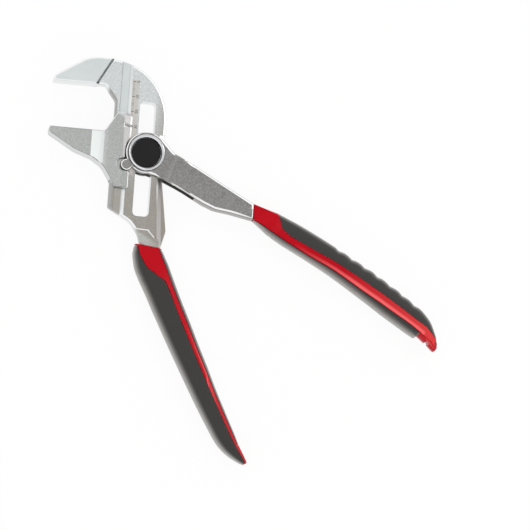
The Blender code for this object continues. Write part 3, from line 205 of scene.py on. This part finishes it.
def use(tree, group, **inputs):
    """Places a node group in a material, with the inputs that differ from its defaults."""
    made = node(tree, "ShaderNodeGroup", node_tree=group)
    for key, value in inputs.items():
        made.inputs[key.replace("_", " ").capitalize()].default_value = value
    return made


# Mask of the side of a plane on which a point lies, with a soft border
side_group, given, result = new_group(
    "Side of plane", [("Way", (1.0, 0.0, 0.0)), ("Offset", 0.0), ("Softness", 0.0003)],
    [("Mask", "NodeSocketFloat")])
place = node(side_group, "ShaderNodeTexCoord").outputs["Object"]
along = node(side_group, "ShaderNodeVectorMath", {0: place, 1: given.outputs["Way"]},
             operation="DOT_PRODUCT").outputs["Value"]
distance = math_node(side_group, "SUBTRACT", along, given.outputs["Offset"])
share = math_node(side_group, "DIVIDE", distance, given.outputs["Softness"])
mask = math_node(side_group, "ADD", share, 0.5, clamp=True)
side_group.links.new(mask, result.inputs["Mask"])

# Masks of the level faces and of the upright walls; the rounded edges between them are in neither. Its third
# output tells how near to level a face is
level_group, given, result = new_group(
    "Level faces", [("Least", 0.9)],
    [("Level", "NodeSocketFloat"), ("Wall", "NodeSocketFloat"), ("Rise", "NodeSocketFloat")])
normal = node(level_group, "ShaderNodeNewGeometry").outputs["Normal"]
upward = node(level_group, "ShaderNodeSeparateXYZ", {"Vector": normal}).outputs["Z"]
rise = math_node(level_group, "ABSOLUTE", upward)
level = math_node(level_group, "GREATER_THAN", rise, given.outputs["Least"])
level_group.links.new(level, result.inputs["Level"])
upright = node(level_group, "ShaderNodeMapRange", {"Value": rise, "From Min": 0.55, "From Max": 0.25})
level_group.links.new(upright.outputs["Result"], result.inputs["Wall"])
level_group.links.new(rise, result.inputs["Rise"])

# Surface of plated steel: pebbles from the forging die, fine blasting grain and faint cloudy stains
steel_group, given, result = new_group(
    "Plated steel", [("Pebble size", 0.0012), ("Grain size", 0.00018)],
    [("Pebbles", "NodeSocketFloat"), ("Grain", "NodeSocketFloat"), ("Clouds", "NodeSocketFloat")])
place = node(steel_group, "ShaderNodeTexCoord").outputs["Object"]
pebble_scale = math_node(steel_group, "DIVIDE", 1.0, given.outputs["Pebble size"])
grain_scale = math_node(steel_group, "DIVIDE", 1.0, given.outputs["Grain size"])
pebble = node(steel_group, "ShaderNodeTexNoise", {
    "Vector": place, "Scale": pebble_scale, "Detail": 3.0, "Roughness": 0.65})
steel_group.links.new(pebble.outputs["Fac"], result.inputs["Pebbles"])
grain = node(steel_group, "ShaderNodeTexNoise", {"Vector": place, "Scale": grain_scale, "Detail": 3.0})
steel_group.links.new(grain.outputs["Fac"], result.inputs["Grain"])
cloud = node(steel_group, "ShaderNodeTexNoise", {"Vector": place, "Scale": 110.0, "Detail": 4.0})
steel_group.links.new(cloud.outputs["Fac"], result.inputs["Clouds"])

# Engraved millimetre marks beside the groove, faint but for each fifth, and each tenth one longer
marks_group, given, result = new_group(
    "Scale marks",
    [("Zero", SCALE_ZERO), ("Left end", -0.0118), ("Long end", -0.0098), ("Short end", -0.0104)],
    [("Mask", "NodeSocketFloat")])
place = node(marks_group, "ShaderNodeSeparateXYZ",
             {"Vector": node(marks_group, "ShaderNodeTexCoord").outputs["Object"]})
reading = math_node(marks_group, "SUBTRACT", given.outputs["Zero"], place.outputs["Y"])


def marks_every(step, width, end):
    """A mask of cross lines at every step of the scale, from the groove to an end."""
    off_mark = math_node(marks_group, "PINGPONG", reading, step / 2)
    near = math_node(marks_group, "LESS_THAN", off_mark, width / 2)
    inside = math_node(marks_group, "LESS_THAN", place.outputs["X"], given.outputs[end])
    return math_node(marks_group, "MULTIPLY", near, inside)


single = math_node(marks_group, "MULTIPLY", marks_every(step=0.001, width=0.0004, end="Short end"), 0.45)
fifth = marks_every(step=0.005, width=0.0005, end="Short end")
tenth = marks_every(step=0.010, width=0.0006, end="Long end")
lines = math_node(marks_group, "MAXIMUM", tenth, math_node(marks_group, "MAXIMUM", fifth, single))
begun = math_node(marks_group, "GREATER_THAN", reading, -0.0004)
off_groove = math_node(marks_group, "GREATER_THAN", place.outputs["X"], given.outputs["Left end"])
mask = math_node(marks_group, "MULTIPLY", math_node(marks_group, "MULTIPLY", lines, begun), off_groove)
marks_group.links.new(mask, result.inputs["Mask"])


def past(tree, way, place, fade=0.0003):
    """A mask of what lies past a place along a way, with a border that fades over a width."""
    return use(tree, side_group, way=way, offset=place, softness=fade).outputs["Mask"]


def right_of(tree, x, fade=0.0003):
    """A mask of what lies at a greater x."""
    return past(tree, (1, 0, 0), x, fade)


def left_of(tree, x, fade=0.0003):
    """A mask of what lies at a smaller x."""
    return past(tree, (-1, 0, 0), -x, fade)


def above(tree, y, fade=0.0003):
    """A mask of what lies at a greater y, which is above as the camera sees it."""
    return past(tree, (0, 1, 0), y, fade)


def below(tree, y, fade=0.0003):
    """A mask of what lies at a smaller y, which is below as the camera sees it."""
    return past(tree, (0, -1, 0), -y, fade)


def product(tree, *masks):
    """A mask of what several masks share. One of them may be a plain strength."""
    shared = masks[0]
    for mask in masks[1:]:
        shared = math_node(tree, "MULTIPLY", shared, mask)
    return shared


def difference(tree, whole, part):
    """A mask of what is in the whole and not in the part."""
    return math_node(tree, "SUBTRACT", whole, part)


def either(tree, one, other):
    """A mask of what is in one mask or in the other."""
    return math_node(tree, "ADD", one, other, clamp=True)


def blend(tree, factor, low, high):
    """A value or colour between two, by a factor."""
    colour = isinstance(low, tuple) or getattr(low, "type", "") == "RGBA"
    kind = "RGBA" if colour else "FLOAT"
    made = node(tree, "ShaderNodeMix", data_type=kind)
    slots = [s for s in made.inputs if s.type == ("RGBA" if colour else "VALUE")]
    a, b = slots[-2:]
    for socket, value in ((made.inputs[0], factor), (a, low), (b, high)):
        if isinstance(value, bpy.types.NodeSocket):
            tree.links.new(value, socket)
        else:
            socket.default_value = (*value, 1) if isinstance(value, tuple) else value
    return [s for s in made.outputs if s.type == ("RGBA" if colour else "VALUE")][0]


forged, tree, shader = new_material("forged_jaw_steel", 1.0)
surface = use(tree, steel_group)
off_tip = past(tree, STEP_WAY, STEP_START)
tip = difference(tree, 1.0, off_tip)
right_of_groove = right_of(tree, GROOVE_RIGHT)
groove = difference(tree, 1.0, either(tree, right_of_groove, left_of(tree, GROOVE_LEFT)))
smooth = either(tree, tip, groove)
rough_colour = ramp(tree, surface.outputs["Pebbles"], *FORGED_GREYS)
smooth_colour = ramp(tree, surface.outputs["Clouds"], *GROUND_GREYS)
steel_colour = blend(tree, smooth, rough_colour, smooth_colour)
# Painted shade: the bar is darker and a little browner towards the grip, and browner still right of the slot
painted_shade = blend(tree, past(tree, GRIPWARD_WAY, GRIPWARD_PLACE, fade=0.060), WHITE, GRIPWARD_SHADE)
# The neck gets a painted shade as well
neck = past(tree, NECK_WAY, NECK_PLACE, fade=0.002)
painted_shade = blend(tree, neck, painted_shade, NECK_SHADE)
steel_colour = node(tree, "ShaderNodeMix", {0: 1.0, 6: steel_colour, 7: painted_shade}, data_type="RGBA",
                    blend_type="MULTIPLY").outputs[2]
beside_slot_shade = product(tree, right_of(tree, BESIDE_SLOT, fade=0.010), below(tree, BAR_TOP, fade=0.016), 0.75)
steel_colour = blend(tree, beside_slot_shade, steel_colour, BESIDE_SLOT_SHADE)
# The strip that carries the scale has a duller finish of its own, and the marks in it are blackened
above_foot = above(tree, SCALE_FOOT, fade=0.0010)
strip = product(tree, left_of(tree, SCALE_RIGHT, fade=0.0012), below(tree, BAR_TOP, fade=0.0010),
                right_of_groove, above_foot)
steel_colour = blend(tree, product(tree, strip, 0.7), steel_colour, SCALE_GREY)
marks = product(tree, strip, use(tree, marks_group).outputs["Mask"])
steel_colour = blend(tree, marks, steel_colour, MARK_BLACK)
# Painted highlight: rounded edges are painted bright, and walls a little less. Painted shade makes the walls
# of the outer side and the top dull, and all not level at the throat, the bar's right side and the neck
facing = use(tree, level_group, least=0.97)
painted_edge_light = blend(tree, facing.outputs["Wall"], JAW_EDGE_HIGHLIGHT, JAW_WALL_HIGHLIGHT)
flank = product(tree, right_of(tree, FLANK_LEFT), below(tree, FLANK_TOP))
painted_edge_light = blend(tree, flank, painted_edge_light, FLANK_SHADE)
outer_wall = product(tree, facing.outputs["Wall"], past(tree, OUTER_WAY, OUTER_PLACE, fade=0.004))
painted_edge_light = blend(tree, outer_wall, painted_edge_light, OUTER_WALL_SHADE)
top_wall = product(tree, facing.outputs["Wall"], above(tree, BAR_TOP, fade=0.003))
painted_edge_light = blend(tree, top_wall, painted_edge_light, TOP_WALL_SHADE)
throat = product(tree, right_of(tree, THROAT_LEFT, fade=0.002), left_of(tree, THROAT_RIGHT, fade=0.002),
                 below(tree, THROAT_TOP, fade=0.001))
painted_edge_light = blend(tree, throat, painted_edge_light, THROAT_SHADE)
painted_edge_light = blend(tree, neck, painted_edge_light, NECK_EDGE_SHADE)
steel_colour = blend(tree, facing.outputs["Level"], painted_edge_light, steel_colour)
# Painted shade on the step behind the tip, and a painted shadow line along the groove's left border.
step = product(tree, difference(tree, off_tip, past(tree, STEP_WAY, STEP_END)),
               use(tree, level_group, least=0.25).outputs["Level"])
steel_colour = blend(tree, step, steel_colour, ramp(tree, surface.outputs["Pebbles"], *STEP_SHADE_GREYS))
# The groove's right wall gets a painted highlight
groove_wall = difference(tree, right_of(tree, GROOVE_WALL_FOOT, fade=0.0001), right_of_groove)
groove_wall_lit = blend(tree, above_foot, GROOVE_WALL_LOW_HIGHLIGHT, GROOVE_WALL_HIGHLIGHT)
steel_colour = blend(tree, groove_wall, steel_colour, groove_wall_lit)
groove_shadow_line = difference(tree, right_of(tree, SHADOW_LINE_START, fade=0.0001),
                       right_of(tree, SHADOW_LINE_END, fade=0.0001))
steel_colour = blend(tree, product(tree, groove_shadow_line, 0.75), steel_colour, GROOVE_SHADOW_LINE_GREY)
tree.links.new(steel_colour, shader.inputs["Base Color"])
tree.links.new(blend(tree, smooth, 0.34, 0.28), shader.inputs["Roughness"])
relief = node(tree, "ShaderNodeBump", {
    "Height": product(tree, surface.outputs["Pebbles"], difference(tree, 1.0, smooth)),
    "Distance": 0.00012, "Strength": 0.8})
fine = node(tree, "ShaderNodeBump", {
    "Height": surface.outputs["Grain"], "Distance": 0.00001, "Strength": 0.6,
    "Normal": relief.outputs["Normal"]})
tree.links.new(fine.outputs["Normal"], shader.inputs["Normal"])


def copy_node(node_name, name, material):
    """Copies a CAD node's mesh to an object of its own, left in edit mode with its corners merged."""
    piece = bpy.data.objects.new(name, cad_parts[node_name].data.copy())
    bpy.context.collection.objects.link(piece)
    bpy.ops.object.select_all(action="DESELECT")
    piece.select_set(True)
    bpy.context.view_layer.objects.active = piece
    piece.data.materials.clear()
    piece.data.materials.append(material)
    bpy.ops.object.mode_set(mode="EDIT")
    bpy.ops.mesh.select_all(action="SELECT")
    bpy.ops.mesh.customdata_custom_splitnormals_clear()
    bpy.ops.mesh.remove_doubles(threshold=MERGE_REACH)
    return piece


def slant_rims(piece, rim):
    """Insets the level faces and lifts them a little, which leaves a slanted rim round them."""
    build = bmesh.new()
    build.from_mesh(piece.data)
    for face in build.faces:
        face.select_set(abs(face.normal.z) > RIM_RISE)
    build.to_mesh(piece.data)
    build.free()
    bpy.ops.object.mode_set(mode="EDIT")
    bpy.ops.mesh.select_mode(type="FACE")
    bpy.ops.mesh.inset(thickness=rim, depth=rim * RIM_SLOPE)
    bpy.ops.mesh.select_mode(type="VERT")
    bpy.ops.object.mode_set(mode="OBJECT")


def keep_broad_faces_flat(piece, least_turn):
    """Marks the borders of the broad level faces sharp where they turn by more than some degrees."""
    build = bmesh.new()
    build.from_mesh(piece.data)
    for edge in build.edges:
        broad = any(abs(face.normal.z) > BROAD_RISE and face.calc_area() > BROAD_AREA
                    for face in edge.link_faces)
        if broad and edge.calc_face_angle(0) > math.radians(least_turn):
            edge.smooth = False
    build.to_mesh(piece.data)
    build.free()


def dress(node_name, name, material, body, bevel, angle=30, flat=1.0, rim=0, least_turn=3):
    """Stands in for a CAD node: its own mesh with whole faces and rounded edges. Angles are in degrees."""
    piece = copy_node(node_name, name, material)
    bpy.ops.mesh.dissolve_limited(angle_limit=math.radians(flat))
    bpy.ops.mesh.normals_make_consistent(inside=False)
    bpy.ops.object.mode_set(mode="OBJECT")
    if bevel:
        round_edges = piece.modifiers.new("round_edges", "BEVEL")
        round_edges.width = bevel
        round_edges.segments = 2
        round_edges.limit_method = "ANGLE"
        round_edges.angle_limit = math.radians(angle)
        round_edges.use_clamp_overlap = True
        bpy.ops.object.modifier_apply(modifier=round_edges.name)
    bpy.ops.object.shade_smooth_by_angle(angle=math.radians(50))
    if rim:
        slant_rims(piece, rim)
    keep_broad_faces_flat(piece, least_turn)
    even_normals = piece.modifiers.new("even_normals", "WEIGHTED_NORMAL")
    even_normals.keep_sharp = True
    bpy.ops.object.modifier_apply(modifier=even_normals.name)
    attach(piece, body)
    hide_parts(node_name)
    return piece


dress("fixed_jaw", "jaw_and_bar", forged, "fixed_handle", EDGE_ROUNDING)


# Numbers of the scale: one for each centimetre of jaw opening. They are engraved and blackened in the strip
# beside the groove, each next to its long mark.
LAST_NUMBER, NUMBER_STEP = 50, 10
BAR_FACE = 0.0131
NUMBER_PLACE = -0.0073
NUMBER_HEIGHT = 0.0028
NUMBER_SINK = 0.00004
NUMBER_HALF_DEPTH = 0.00005
INK_BLACKS = ((0.3, (0.020, 0.018, 0.016)), (0.7, (0.060, 0.055, 0.050)))

ink, tree, shader = new_material("black_engraving", 0.0)
surface = use(tree, steel_group)
tree.links.new(ramp(tree, surface.outputs["Grain"], *INK_BLACKS), shader.inputs["Base Color"])
shader.inputs["Roughness"].default_value = 0.7

for opening in range(0, LAST_NUMBER + 1, NUMBER_STEP):
    bpy.ops.object.text_add(location=(NUMBER_PLACE, SCALE_ZERO - opening / 1000, BAR_FACE - NUMBER_SINK),
                            rotation=(0, 0, math.radians(90)))
    number = bpy.context.object
    number.name = f"scale_number_{opening}"
    number.data.body = str(opening)
    number.data.size = NUMBER_HEIGHT
    number.data.align_x = "CENTER"
    number.data.extrude = NUMBER_HALF_DEPTH
    number.data.materials.append(ink)
    bpy.ops.object.convert(target="MESH")
    bpy.ops.object.transform_apply(location=True, rotation=True, scale=True)
    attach(number, "fixed_handle")


# Sliding jaw: forged, milled to run on the bar and bead blasted all over, which leaves a fine dull grain.
# Its edges get a painted highlight, but for the lower one, and its walls a painted shade. A ramp on each
# face leads from the thinner tip to the cheek, and gets a painted highlight.
RAMP_START, RAMP_END = -0.0366, -0.0285
INDEX_STRIP_LEFT, INDEX_STRIP_EDGE, INDEX_STRIP_FOOT = -0.0157, -0.0119, -0.0040
SHOULDER_WAY, SHOULDER_PLACE = (0.43, 0.90, 0), 0.0135
LOWER_WAY, LOWER_PLACE = (-0.45, -0.89, 0), 0.0195
LOWER_RIGHT, LOWER_FOOT = -0.0125, -0.0435
SLIDING_JAW_RIM = 0.0005

BLASTED_GREYS = ((0.36, (0.38, 0.39, 0.38)), (0.64, (0.53, 0.54, 0.53)))
# Painted highlights and shades of the ramp, the index strip, the shoulder, the edges and the walls
RAMP_HIGHLIGHT = (0.64, 0.67, 0.66)
INDEX_STRIP_REFLECTION, INDEX_STRIP_SIDE_SHEEN = (0.62, 0.61, 0.60), (0.50, 0.49, 0.48)
SHOULDER_HIGHLIGHT = (0.78, 0.80, 0.80)
SLIDER_EDGE_HIGHLIGHT, SLIDER_WALL_SHADE = (0.94, 0.95, 0.95), (0.30, 0.31, 0.31)
LOWER_EDGE_SHADE, LOWER_WALL_HIGHLIGHT = (0.28, 0.28, 0.27), (0.62, 0.63, 0.63)

blasted, tree, shader = new_material("blasted_jaw_steel", 1.0)
surface = use(tree, steel_group, grain_size=0.0006)
blasted_colour = ramp(tree, surface.outputs["Grain"], *BLASTED_GREYS)
# The ramp gets a painted highlight, which fades towards the cheek
on_ramp = difference(tree, right_of(tree, RAMP_START, fade=0.0004), right_of(tree, RAMP_END, fade=0.0070))
jaw_colour = blend(tree, on_ramp, blasted_colour, RAMP_HIGHLIGHT)
# The strip along the cheek with the index mark gets a painted reflection, and ends in a painted highlight
above_foot = above(tree, INDEX_STRIP_FOOT, fade=0.001)
index_strip = product(tree, above_foot, right_of(tree, INDEX_STRIP_LEFT))
jaw_colour = blend(tree, index_strip, jaw_colour, INDEX_STRIP_REFLECTION)
strip_edge = product(tree, above_foot, right_of(tree, INDEX_STRIP_EDGE))
jaw_colour = blend(tree, strip_edge, jaw_colour, SLIDER_EDGE_HIGHLIGHT)
# The shoulder gets a painted highlight
shoulder_lit = product(tree, past(tree, SHOULDER_WAY, SHOULDER_PLACE, fade=0.0030),
                   difference(tree, 1.0, index_strip))
jaw_colour = blend(tree, shoulder_lit, jaw_colour, SHOULDER_HIGHLIGHT)
# Painted highlight on the edges that aren't level, and painted shade on the walls
facing = use(tree, level_group, least=0.93)
painted_edge_light = blend(tree, facing.outputs["Wall"], SLIDER_EDGE_HIGHLIGHT, SLIDER_WALL_SHADE)
# Within the index strip the edges get a dimmer painted highlight
painted_edge_light = blend(tree, difference(tree, index_strip, strip_edge), painted_edge_light, INDEX_STRIP_SIDE_SHEEN)
# Along the lower side the edge itself gets a painted shade and the wall below it a painted highlight
lower_side = product(tree, past(tree, LOWER_WAY, LOWER_PLACE, fade=0.002),
                     left_of(tree, LOWER_RIGHT, fade=0.001), above(tree, LOWER_FOOT, fade=0.001))
lower_painted_light = blend(tree, facing.outputs["Wall"], LOWER_EDGE_SHADE, LOWER_WALL_HIGHLIGHT)
painted_edge_light = blend(tree, lower_side, painted_edge_light, lower_painted_light)
jaw_colour = blend(tree, facing.outputs["Level"], painted_edge_light, jaw_colour)
tree.links.new(jaw_colour, shader.inputs["Base Color"])
shader.inputs["Roughness"].default_value = 0.30
fine = node(tree, "ShaderNodeBump", {
    "Height": product(tree, surface.outputs["Grain"], difference(tree, 1.0, on_ramp)),
    "Distance": 0.00006, "Strength": 0.8})
tree.links.new(fine.outputs["Normal"], shader.inputs["Normal"])

dress("sliding_jaw", "moving_jaw", blasted, "slider", EDGE_ROUNDING, rim=SLIDING_JAW_RIM)


# Lever: forged like the fixed jaw, with a smooth round head and a pebbled shank. The head is forked to
# straddle the bar, and the shank ends in a tang inside the grip.
LEVER_WAY = (0.916, -0.400, 0)
HEAD_END, SLOPE_END = 0.0160, 0.0245
SHANK_START = 0.021
LEVER_GREYS = ((0.38, (0.245, 0.24, 0.235)), (0.62, (0.335, 0.33, 0.325)))
LEVER_EDGE_HIGHLIGHT, LEVER_WALL_SHADE = (0.93, 0.93, 0.93), (0.26, 0.25, 0.24)

lever_steel, tree, shader = new_material("forged_lever_steel", 1.0)
surface = use(tree, steel_group)
facing = use(tree, level_group, least=0.965)
slope = product(tree, difference(tree, past(tree, LEVER_WAY, HEAD_END), past(tree, LEVER_WAY, SLOPE_END)),
                use(tree, level_group, least=0.940).outputs["Level"])
level = math_node(tree, "MAXIMUM", facing.outputs["Level"], slope)
# Painted highlight on the edges that aren't level, and painted shade on the walls
painted_edge_light = blend(tree, facing.outputs["Wall"], LEVER_EDGE_HIGHLIGHT, LEVER_WALL_SHADE)
face_colour = ramp(tree, surface.outputs["Pebbles"], *LEVER_GREYS)
tree.links.new(blend(tree, level, painted_edge_light, face_colour), shader.inputs["Base Color"])
shader.inputs["Roughness"].default_value = 0.30
relief = node(tree, "ShaderNodeBump", {
    "Height": product(tree, surface.outputs["Pebbles"], past(tree, LEVER_WAY, SHANK_START, fade=0.008)),
    "Distance": 0.00012, "Strength": 0.7})
tree.links.new(relief.outputs["Normal"], shader.inputs["Normal"])

dress("lever", "lever_arm", lever_steel, "lever_handle", EDGE_ROUNDING, least_turn=20)


# Pivot: a steel sleeve through the lever's head and the bar's slot. A polished ring round the black push
# button closes its front, a turned cap with a snap ring its back. The lock bolt and its spring lie inside.
RING_LOW, RING_TOP = 0.0134, 0.0182
RING_OUTER, RING_INNER = 0.0119, 0.0098
RING_GREYS = ((0.3, (0.66, 0.67, 0.68)), (0.7, (0.74, 0.75, 0.76)))
BUTTON_LOW, BUTTON_TOP = 0.0149, 0.0167
BUTTON_RADIUS = 0.0095
BUTTON_BLACKS = ((0.3, (0.006, 0.006, 0.006)), (0.7, (0.011, 0.010, 0.010)))
TURNED_GREYS = ((0.3, (0.44, 0.44, 0.45)), (0.7, (0.56, 0.56, 0.57)))
TURN_STEPS = 96
# Points of the rounded edges, each this far from the side and this far below the top
RING_ROUNDING = ((0, 0.00070), (0.00006, 0.00045), (0.00020, 0.00020), (0.00045, 0.00006), (0.00070, 0))
RING_LIP = ((0.00105, 0), (0.00090, 0.00014), (0.00075, 0.00014), (0.00010, 0.00080), (0, 0.00100))
BUTTON_ROUNDING = ((0, 0.00050), (0.00006, 0.00030), (0.00022, 0.00014), (0.00050, 0.00006))
# Points of the button's shallow dish, each at this share of the radius and this far below the top
BUTTON_DISH = ((0.86, 0), (0.68, 0.00008), (0.5, 0.00016), (0.25, 0.00023), (0, 0.00025))


def turn_profile(name, material, points, body, node_name):
    """A turned piece: a line drawn point by point (radius, height), spun round the pivot's axis."""
    bpy.ops.object.select_all(action="DESELECT")
    bpy.ops.mesh.primitive_plane_add(size=0.001)
    piece = bpy.context.object
    piece.name = name
    bpy.ops.object.mode_set(mode="EDIT")
    bpy.ops.mesh.merge(type="CENTER")
    bpy.ops.transform.translate(value=(points[0][0], 0, points[0][1]))
    for (radius, height), (last_radius, last_height) in zip(points[1:], points):
        bpy.ops.mesh.extrude_region_move(
            TRANSFORM_OT_translate={"value": (radius - last_radius, 0, height - last_height)})
    bpy.ops.mesh.select_all(action="SELECT")
    bpy.ops.mesh.spin(steps=TURN_STEPS, angle=math.tau, center=(0, 0, 0), axis=(0, 0, 1))
    bpy.ops.mesh.select_all(action="SELECT")
    bpy.ops.mesh.remove_doubles(threshold=0.000005)
    bpy.ops.mesh.normals_make_consistent(inside=False)
    bpy.ops.object.mode_set(mode="OBJECT")
    bpy.ops.object.shade_smooth_by_angle(angle=math.radians(28))
    piece.data.materials.append(material)
    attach(piece, body)
    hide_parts(node_name)


polished, tree, shader = new_material("polished_ring_steel", 1.0)
surface = use(tree, steel_group)
tree.links.new(ramp(tree, surface.outputs["Clouds"], *RING_GREYS), shader.inputs["Base Color"])
shader.inputs["Roughness"].default_value = 0.14
ring_profile = [(RING_INNER, RING_LOW), (RING_OUTER, RING_LOW)]
ring_profile += [(RING_OUTER - inwards, RING_TOP - down) for inwards, down in RING_ROUNDING]
ring_profile += [(RING_INNER + outwards, RING_TOP - down) for outwards, down in RING_LIP]
ring_profile += [(RING_INNER, RING_LOW)]
turn_profile("push_button_ring", polished, ring_profile, "pivot", "button_bezel")

black, tree, shader = new_material("button_black_plastic", 0.0)
surface = use(tree, steel_group, grain_size=0.00025)
tree.links.new(ramp(tree, surface.outputs["Grain"], *BUTTON_BLACKS), shader.inputs["Base Color"])
shader.inputs["Roughness"].default_value = 0.38
shader.inputs["Specular IOR Level"].default_value = 0.2
button_profile = [(0, BUTTON_LOW), (BUTTON_RADIUS, BUTTON_LOW)]
button_profile += [(BUTTON_RADIUS - inwards, BUTTON_TOP - down) for inwards, down in BUTTON_ROUNDING]
button_profile += [(BUTTON_RADIUS * share, BUTTON_TOP - down) for share, down in BUTTON_DISH]
turn_profile("push_button", black, button_profile, "button", "button_cap")

turned_steel, tree, shader = new_material("turned_pivot_steel", 1.0)
surface = use(tree, steel_group, grain_size=0.00025)
tree.links.new(ramp(tree, surface.outputs["Grain"], *TURNED_GREYS), shader.inputs["Base Color"])
shader.inputs["Roughness"].default_value = 0.30
dress("rear_cap", "back_cap", turned_steel, "pivot", 0)
for name in ("pivot_sleeve", "lock_bolt", "snap_ring", "button_spring"):
    for material_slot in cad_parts[name].material_slots:
        material_slot.material = turned_steel


# Grips: a hard red core moulded round the tang of each handle, with two soft charcoal pads let into its
# sides. Between the pads the core shows as a crowned stripe.
PAD_ROUNDING = 0.0003
END_SHARE = 0.75
FACES_INWARD = 0.40
RED_TONES = ((0.3, (0.45, 0.001, 0.008)), (0.7, (0.49, 0.0015, 0.010)))
# Painted light far from the head, and the painted highlight of the stripe
FAR_LIT_RED = (0.68, 0.045, 0.047)
STRIPE_HIGHLIGHT_RED = (0.95, 0.15, 0.155)
HIGHLIGHT_STOPS = ((0.45, 0.0), (0.80, 1.0), (0.98, 0.25))
RUBBER_TONES = ((0.3, (0.026, 0.024, 0.023)), (0.7, (0.041, 0.038, 0.036)))
# Painted sheen where a pad turns down to its border
RUBBER_EDGE_SHEEN = (0.26, 0.245, 0.23)

red, tree, shader = new_material("red_moulded_plastic", 0.0)
surface = use(tree, steel_group)
red_colour = ramp(tree, surface.outputs["Clouds"], *RED_TONES)
level = use(tree, level_group, least=0.90).outputs["Level"]
# Painted light: far from the head the red is lighter.
place = node(tree, "ShaderNodeTexCoord").outputs["Object"]
reach = node(tree, "ShaderNodeVectorMath", {0: place}, operation="LENGTH").outputs["Value"]
far = node(tree, "ShaderNodeMapRange", {"Value": reach, "From Min": 0.115, "From Max": 0.165})
farthest = node(tree, "ShaderNodeMapRange", {"Value": reach, "From Min": 0.150, "From Max": 0.225})
red_colour = blend(tree, product(tree, farthest.outputs["Result"], level), red_colour, FAR_LIT_RED)
# The stripe's edge towards the other grip gets a painted highlight
inner = node(tree, "ShaderNodeAttribute", attribute_name="inner_edge").outputs["Fac"]
stripe_highlight = ramp(tree, inner, *HIGHLIGHT_STOPS)
red_colour = blend(tree, product(tree, stripe_highlight, far.outputs["Result"], level), red_colour, STRIPE_HIGHLIGHT_RED)
tree.links.new(red_colour, shader.inputs["Base Color"])
shader.inputs["Roughness"].default_value = 0.28
shader.inputs["Specular IOR Level"].default_value = 0.10
shader.inputs["Coat Roughness"].default_value = 0.2
tree.links.new(blend(tree, level, 0.35, 0.0), shader.inputs["Coat Weight"])

rubber, tree, shader = new_material("charcoal_rubber", 0.0)
surface = use(tree, steel_group, grain_size=0.00030)
rubber_colour = ramp(tree, surface.outputs["Grain"], *RUBBER_TONES)
# A pad is painted paler where it turns down to its border, a painted sheen, and has more coat there too
turned = node(tree, "ShaderNodeMapRange", {
    "Value": use(tree, level_group).outputs["Rise"], "From Min": 0.90, "From Max": 0.42}).outputs["Result"]
tree.links.new(blend(tree, turned, rubber_colour, RUBBER_EDGE_SHEEN), shader.inputs["Base Color"])
tree.links.new(turned, shader.inputs["Coat Weight"])
shader.inputs["Coat Roughness"].default_value = 0.3
shader.inputs["Roughness"].default_value = 0.5
shader.inputs["Specular IOR Level"].default_value = 0.3
fine = node(tree, "ShaderNodeBump", {
    "Height": surface.outputs["Grain"], "Distance": 0.00004, "Strength": 0.7})
tree.links.new(fine.outputs["Normal"], shader.inputs["Normal"])


def mark_inner_edge(core, inward):
    """Marks the corners of the faces that look towards the other grip."""
    inner_edge = core.data.attributes.new("inner_edge", "FLOAT", "POINT")
    for polygon in core.data.polygons:
        if polygon.normal.dot(inward) > FACES_INWARD:
            for corner in polygon.vertices:
                inner_edge.data[corner].value = 1.0


def dress_moulded(node_name, name, material, body, bevel, way):
    """Stands in for a pad that runs along a way: its mesh in quads, with soft edges and rounded ends."""
    piece = copy_node(node_name, name, material)
    bpy.ops.mesh.tris_convert_to_quads(face_threshold=math.radians(50), shape_threshold=math.radians(80))
    bpy.ops.mesh.normals_make_consistent(inside=False)
    bpy.ops.object.mode_set(mode="OBJECT")
    build = bmesh.new()
    build.from_mesh(piece.data)
    weight = build.edges.layers.float.new("bevel_weight_edge")
    crease = build.edges.layers.float.new("crease_edge")
    for edge in build.edges:
        edge[crease] = 0.9 if edge.calc_face_angle_signed(0) < -math.radians(15) else 0.0
        at_end = any(abs(face.normal.dot(way)) > END_SHARE for face in edge.link_faces)
        edge[weight] = 1.0 if edge.calc_face_angle(0) > math.radians(42) and not at_end else 0.0
    build.to_mesh(piece.data)
    build.free()
    soft_edges = piece.modifiers.new("soft_edges", "BEVEL")
    soft_edges.width = bevel
    soft_edges.segments = 2
    soft_edges.limit_method = "WEIGHT"
    bpy.ops.object.modifier_apply(modifier=soft_edges.name)
    curve = piece.modifiers.new("smooth_curves", "SUBSURF")
    curve.levels = 2
    curve.render_levels = 2
    bpy.ops.object.modifier_apply(modifier=curve.name)
    bpy.ops.object.shade_smooth_by_angle(angle=math.radians(60))
    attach(piece, body)
    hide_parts(node_name)


for side, body, inward, way in (
        ("fixed", "fixed_handle", Vector((0.94, 0.35, 0)), Vector((0.35, -0.94, 0))),
        ("lever", "lever_handle", Vector((-0.45, -0.89, 0)), Vector((0.89, -0.45, 0)))):
    core = dress(f"{side}_grip_core", f"{side}_handle_core", red, body, EDGE_ROUNDING,
                 angle=42, flat=0.5, least_turn=35)
    mark_inner_edge(core, inward)
    for pad in ("outer", "inner"):
        dress_moulded(f"{side}_grip_{pad}_pad", f"{side}_handle_{pad}_pad", rubber, body,
                      PAD_ROUNDING, way)


# Colours show as they are set.
bpy.context.scene.view_settings.view_transform = "Standard"
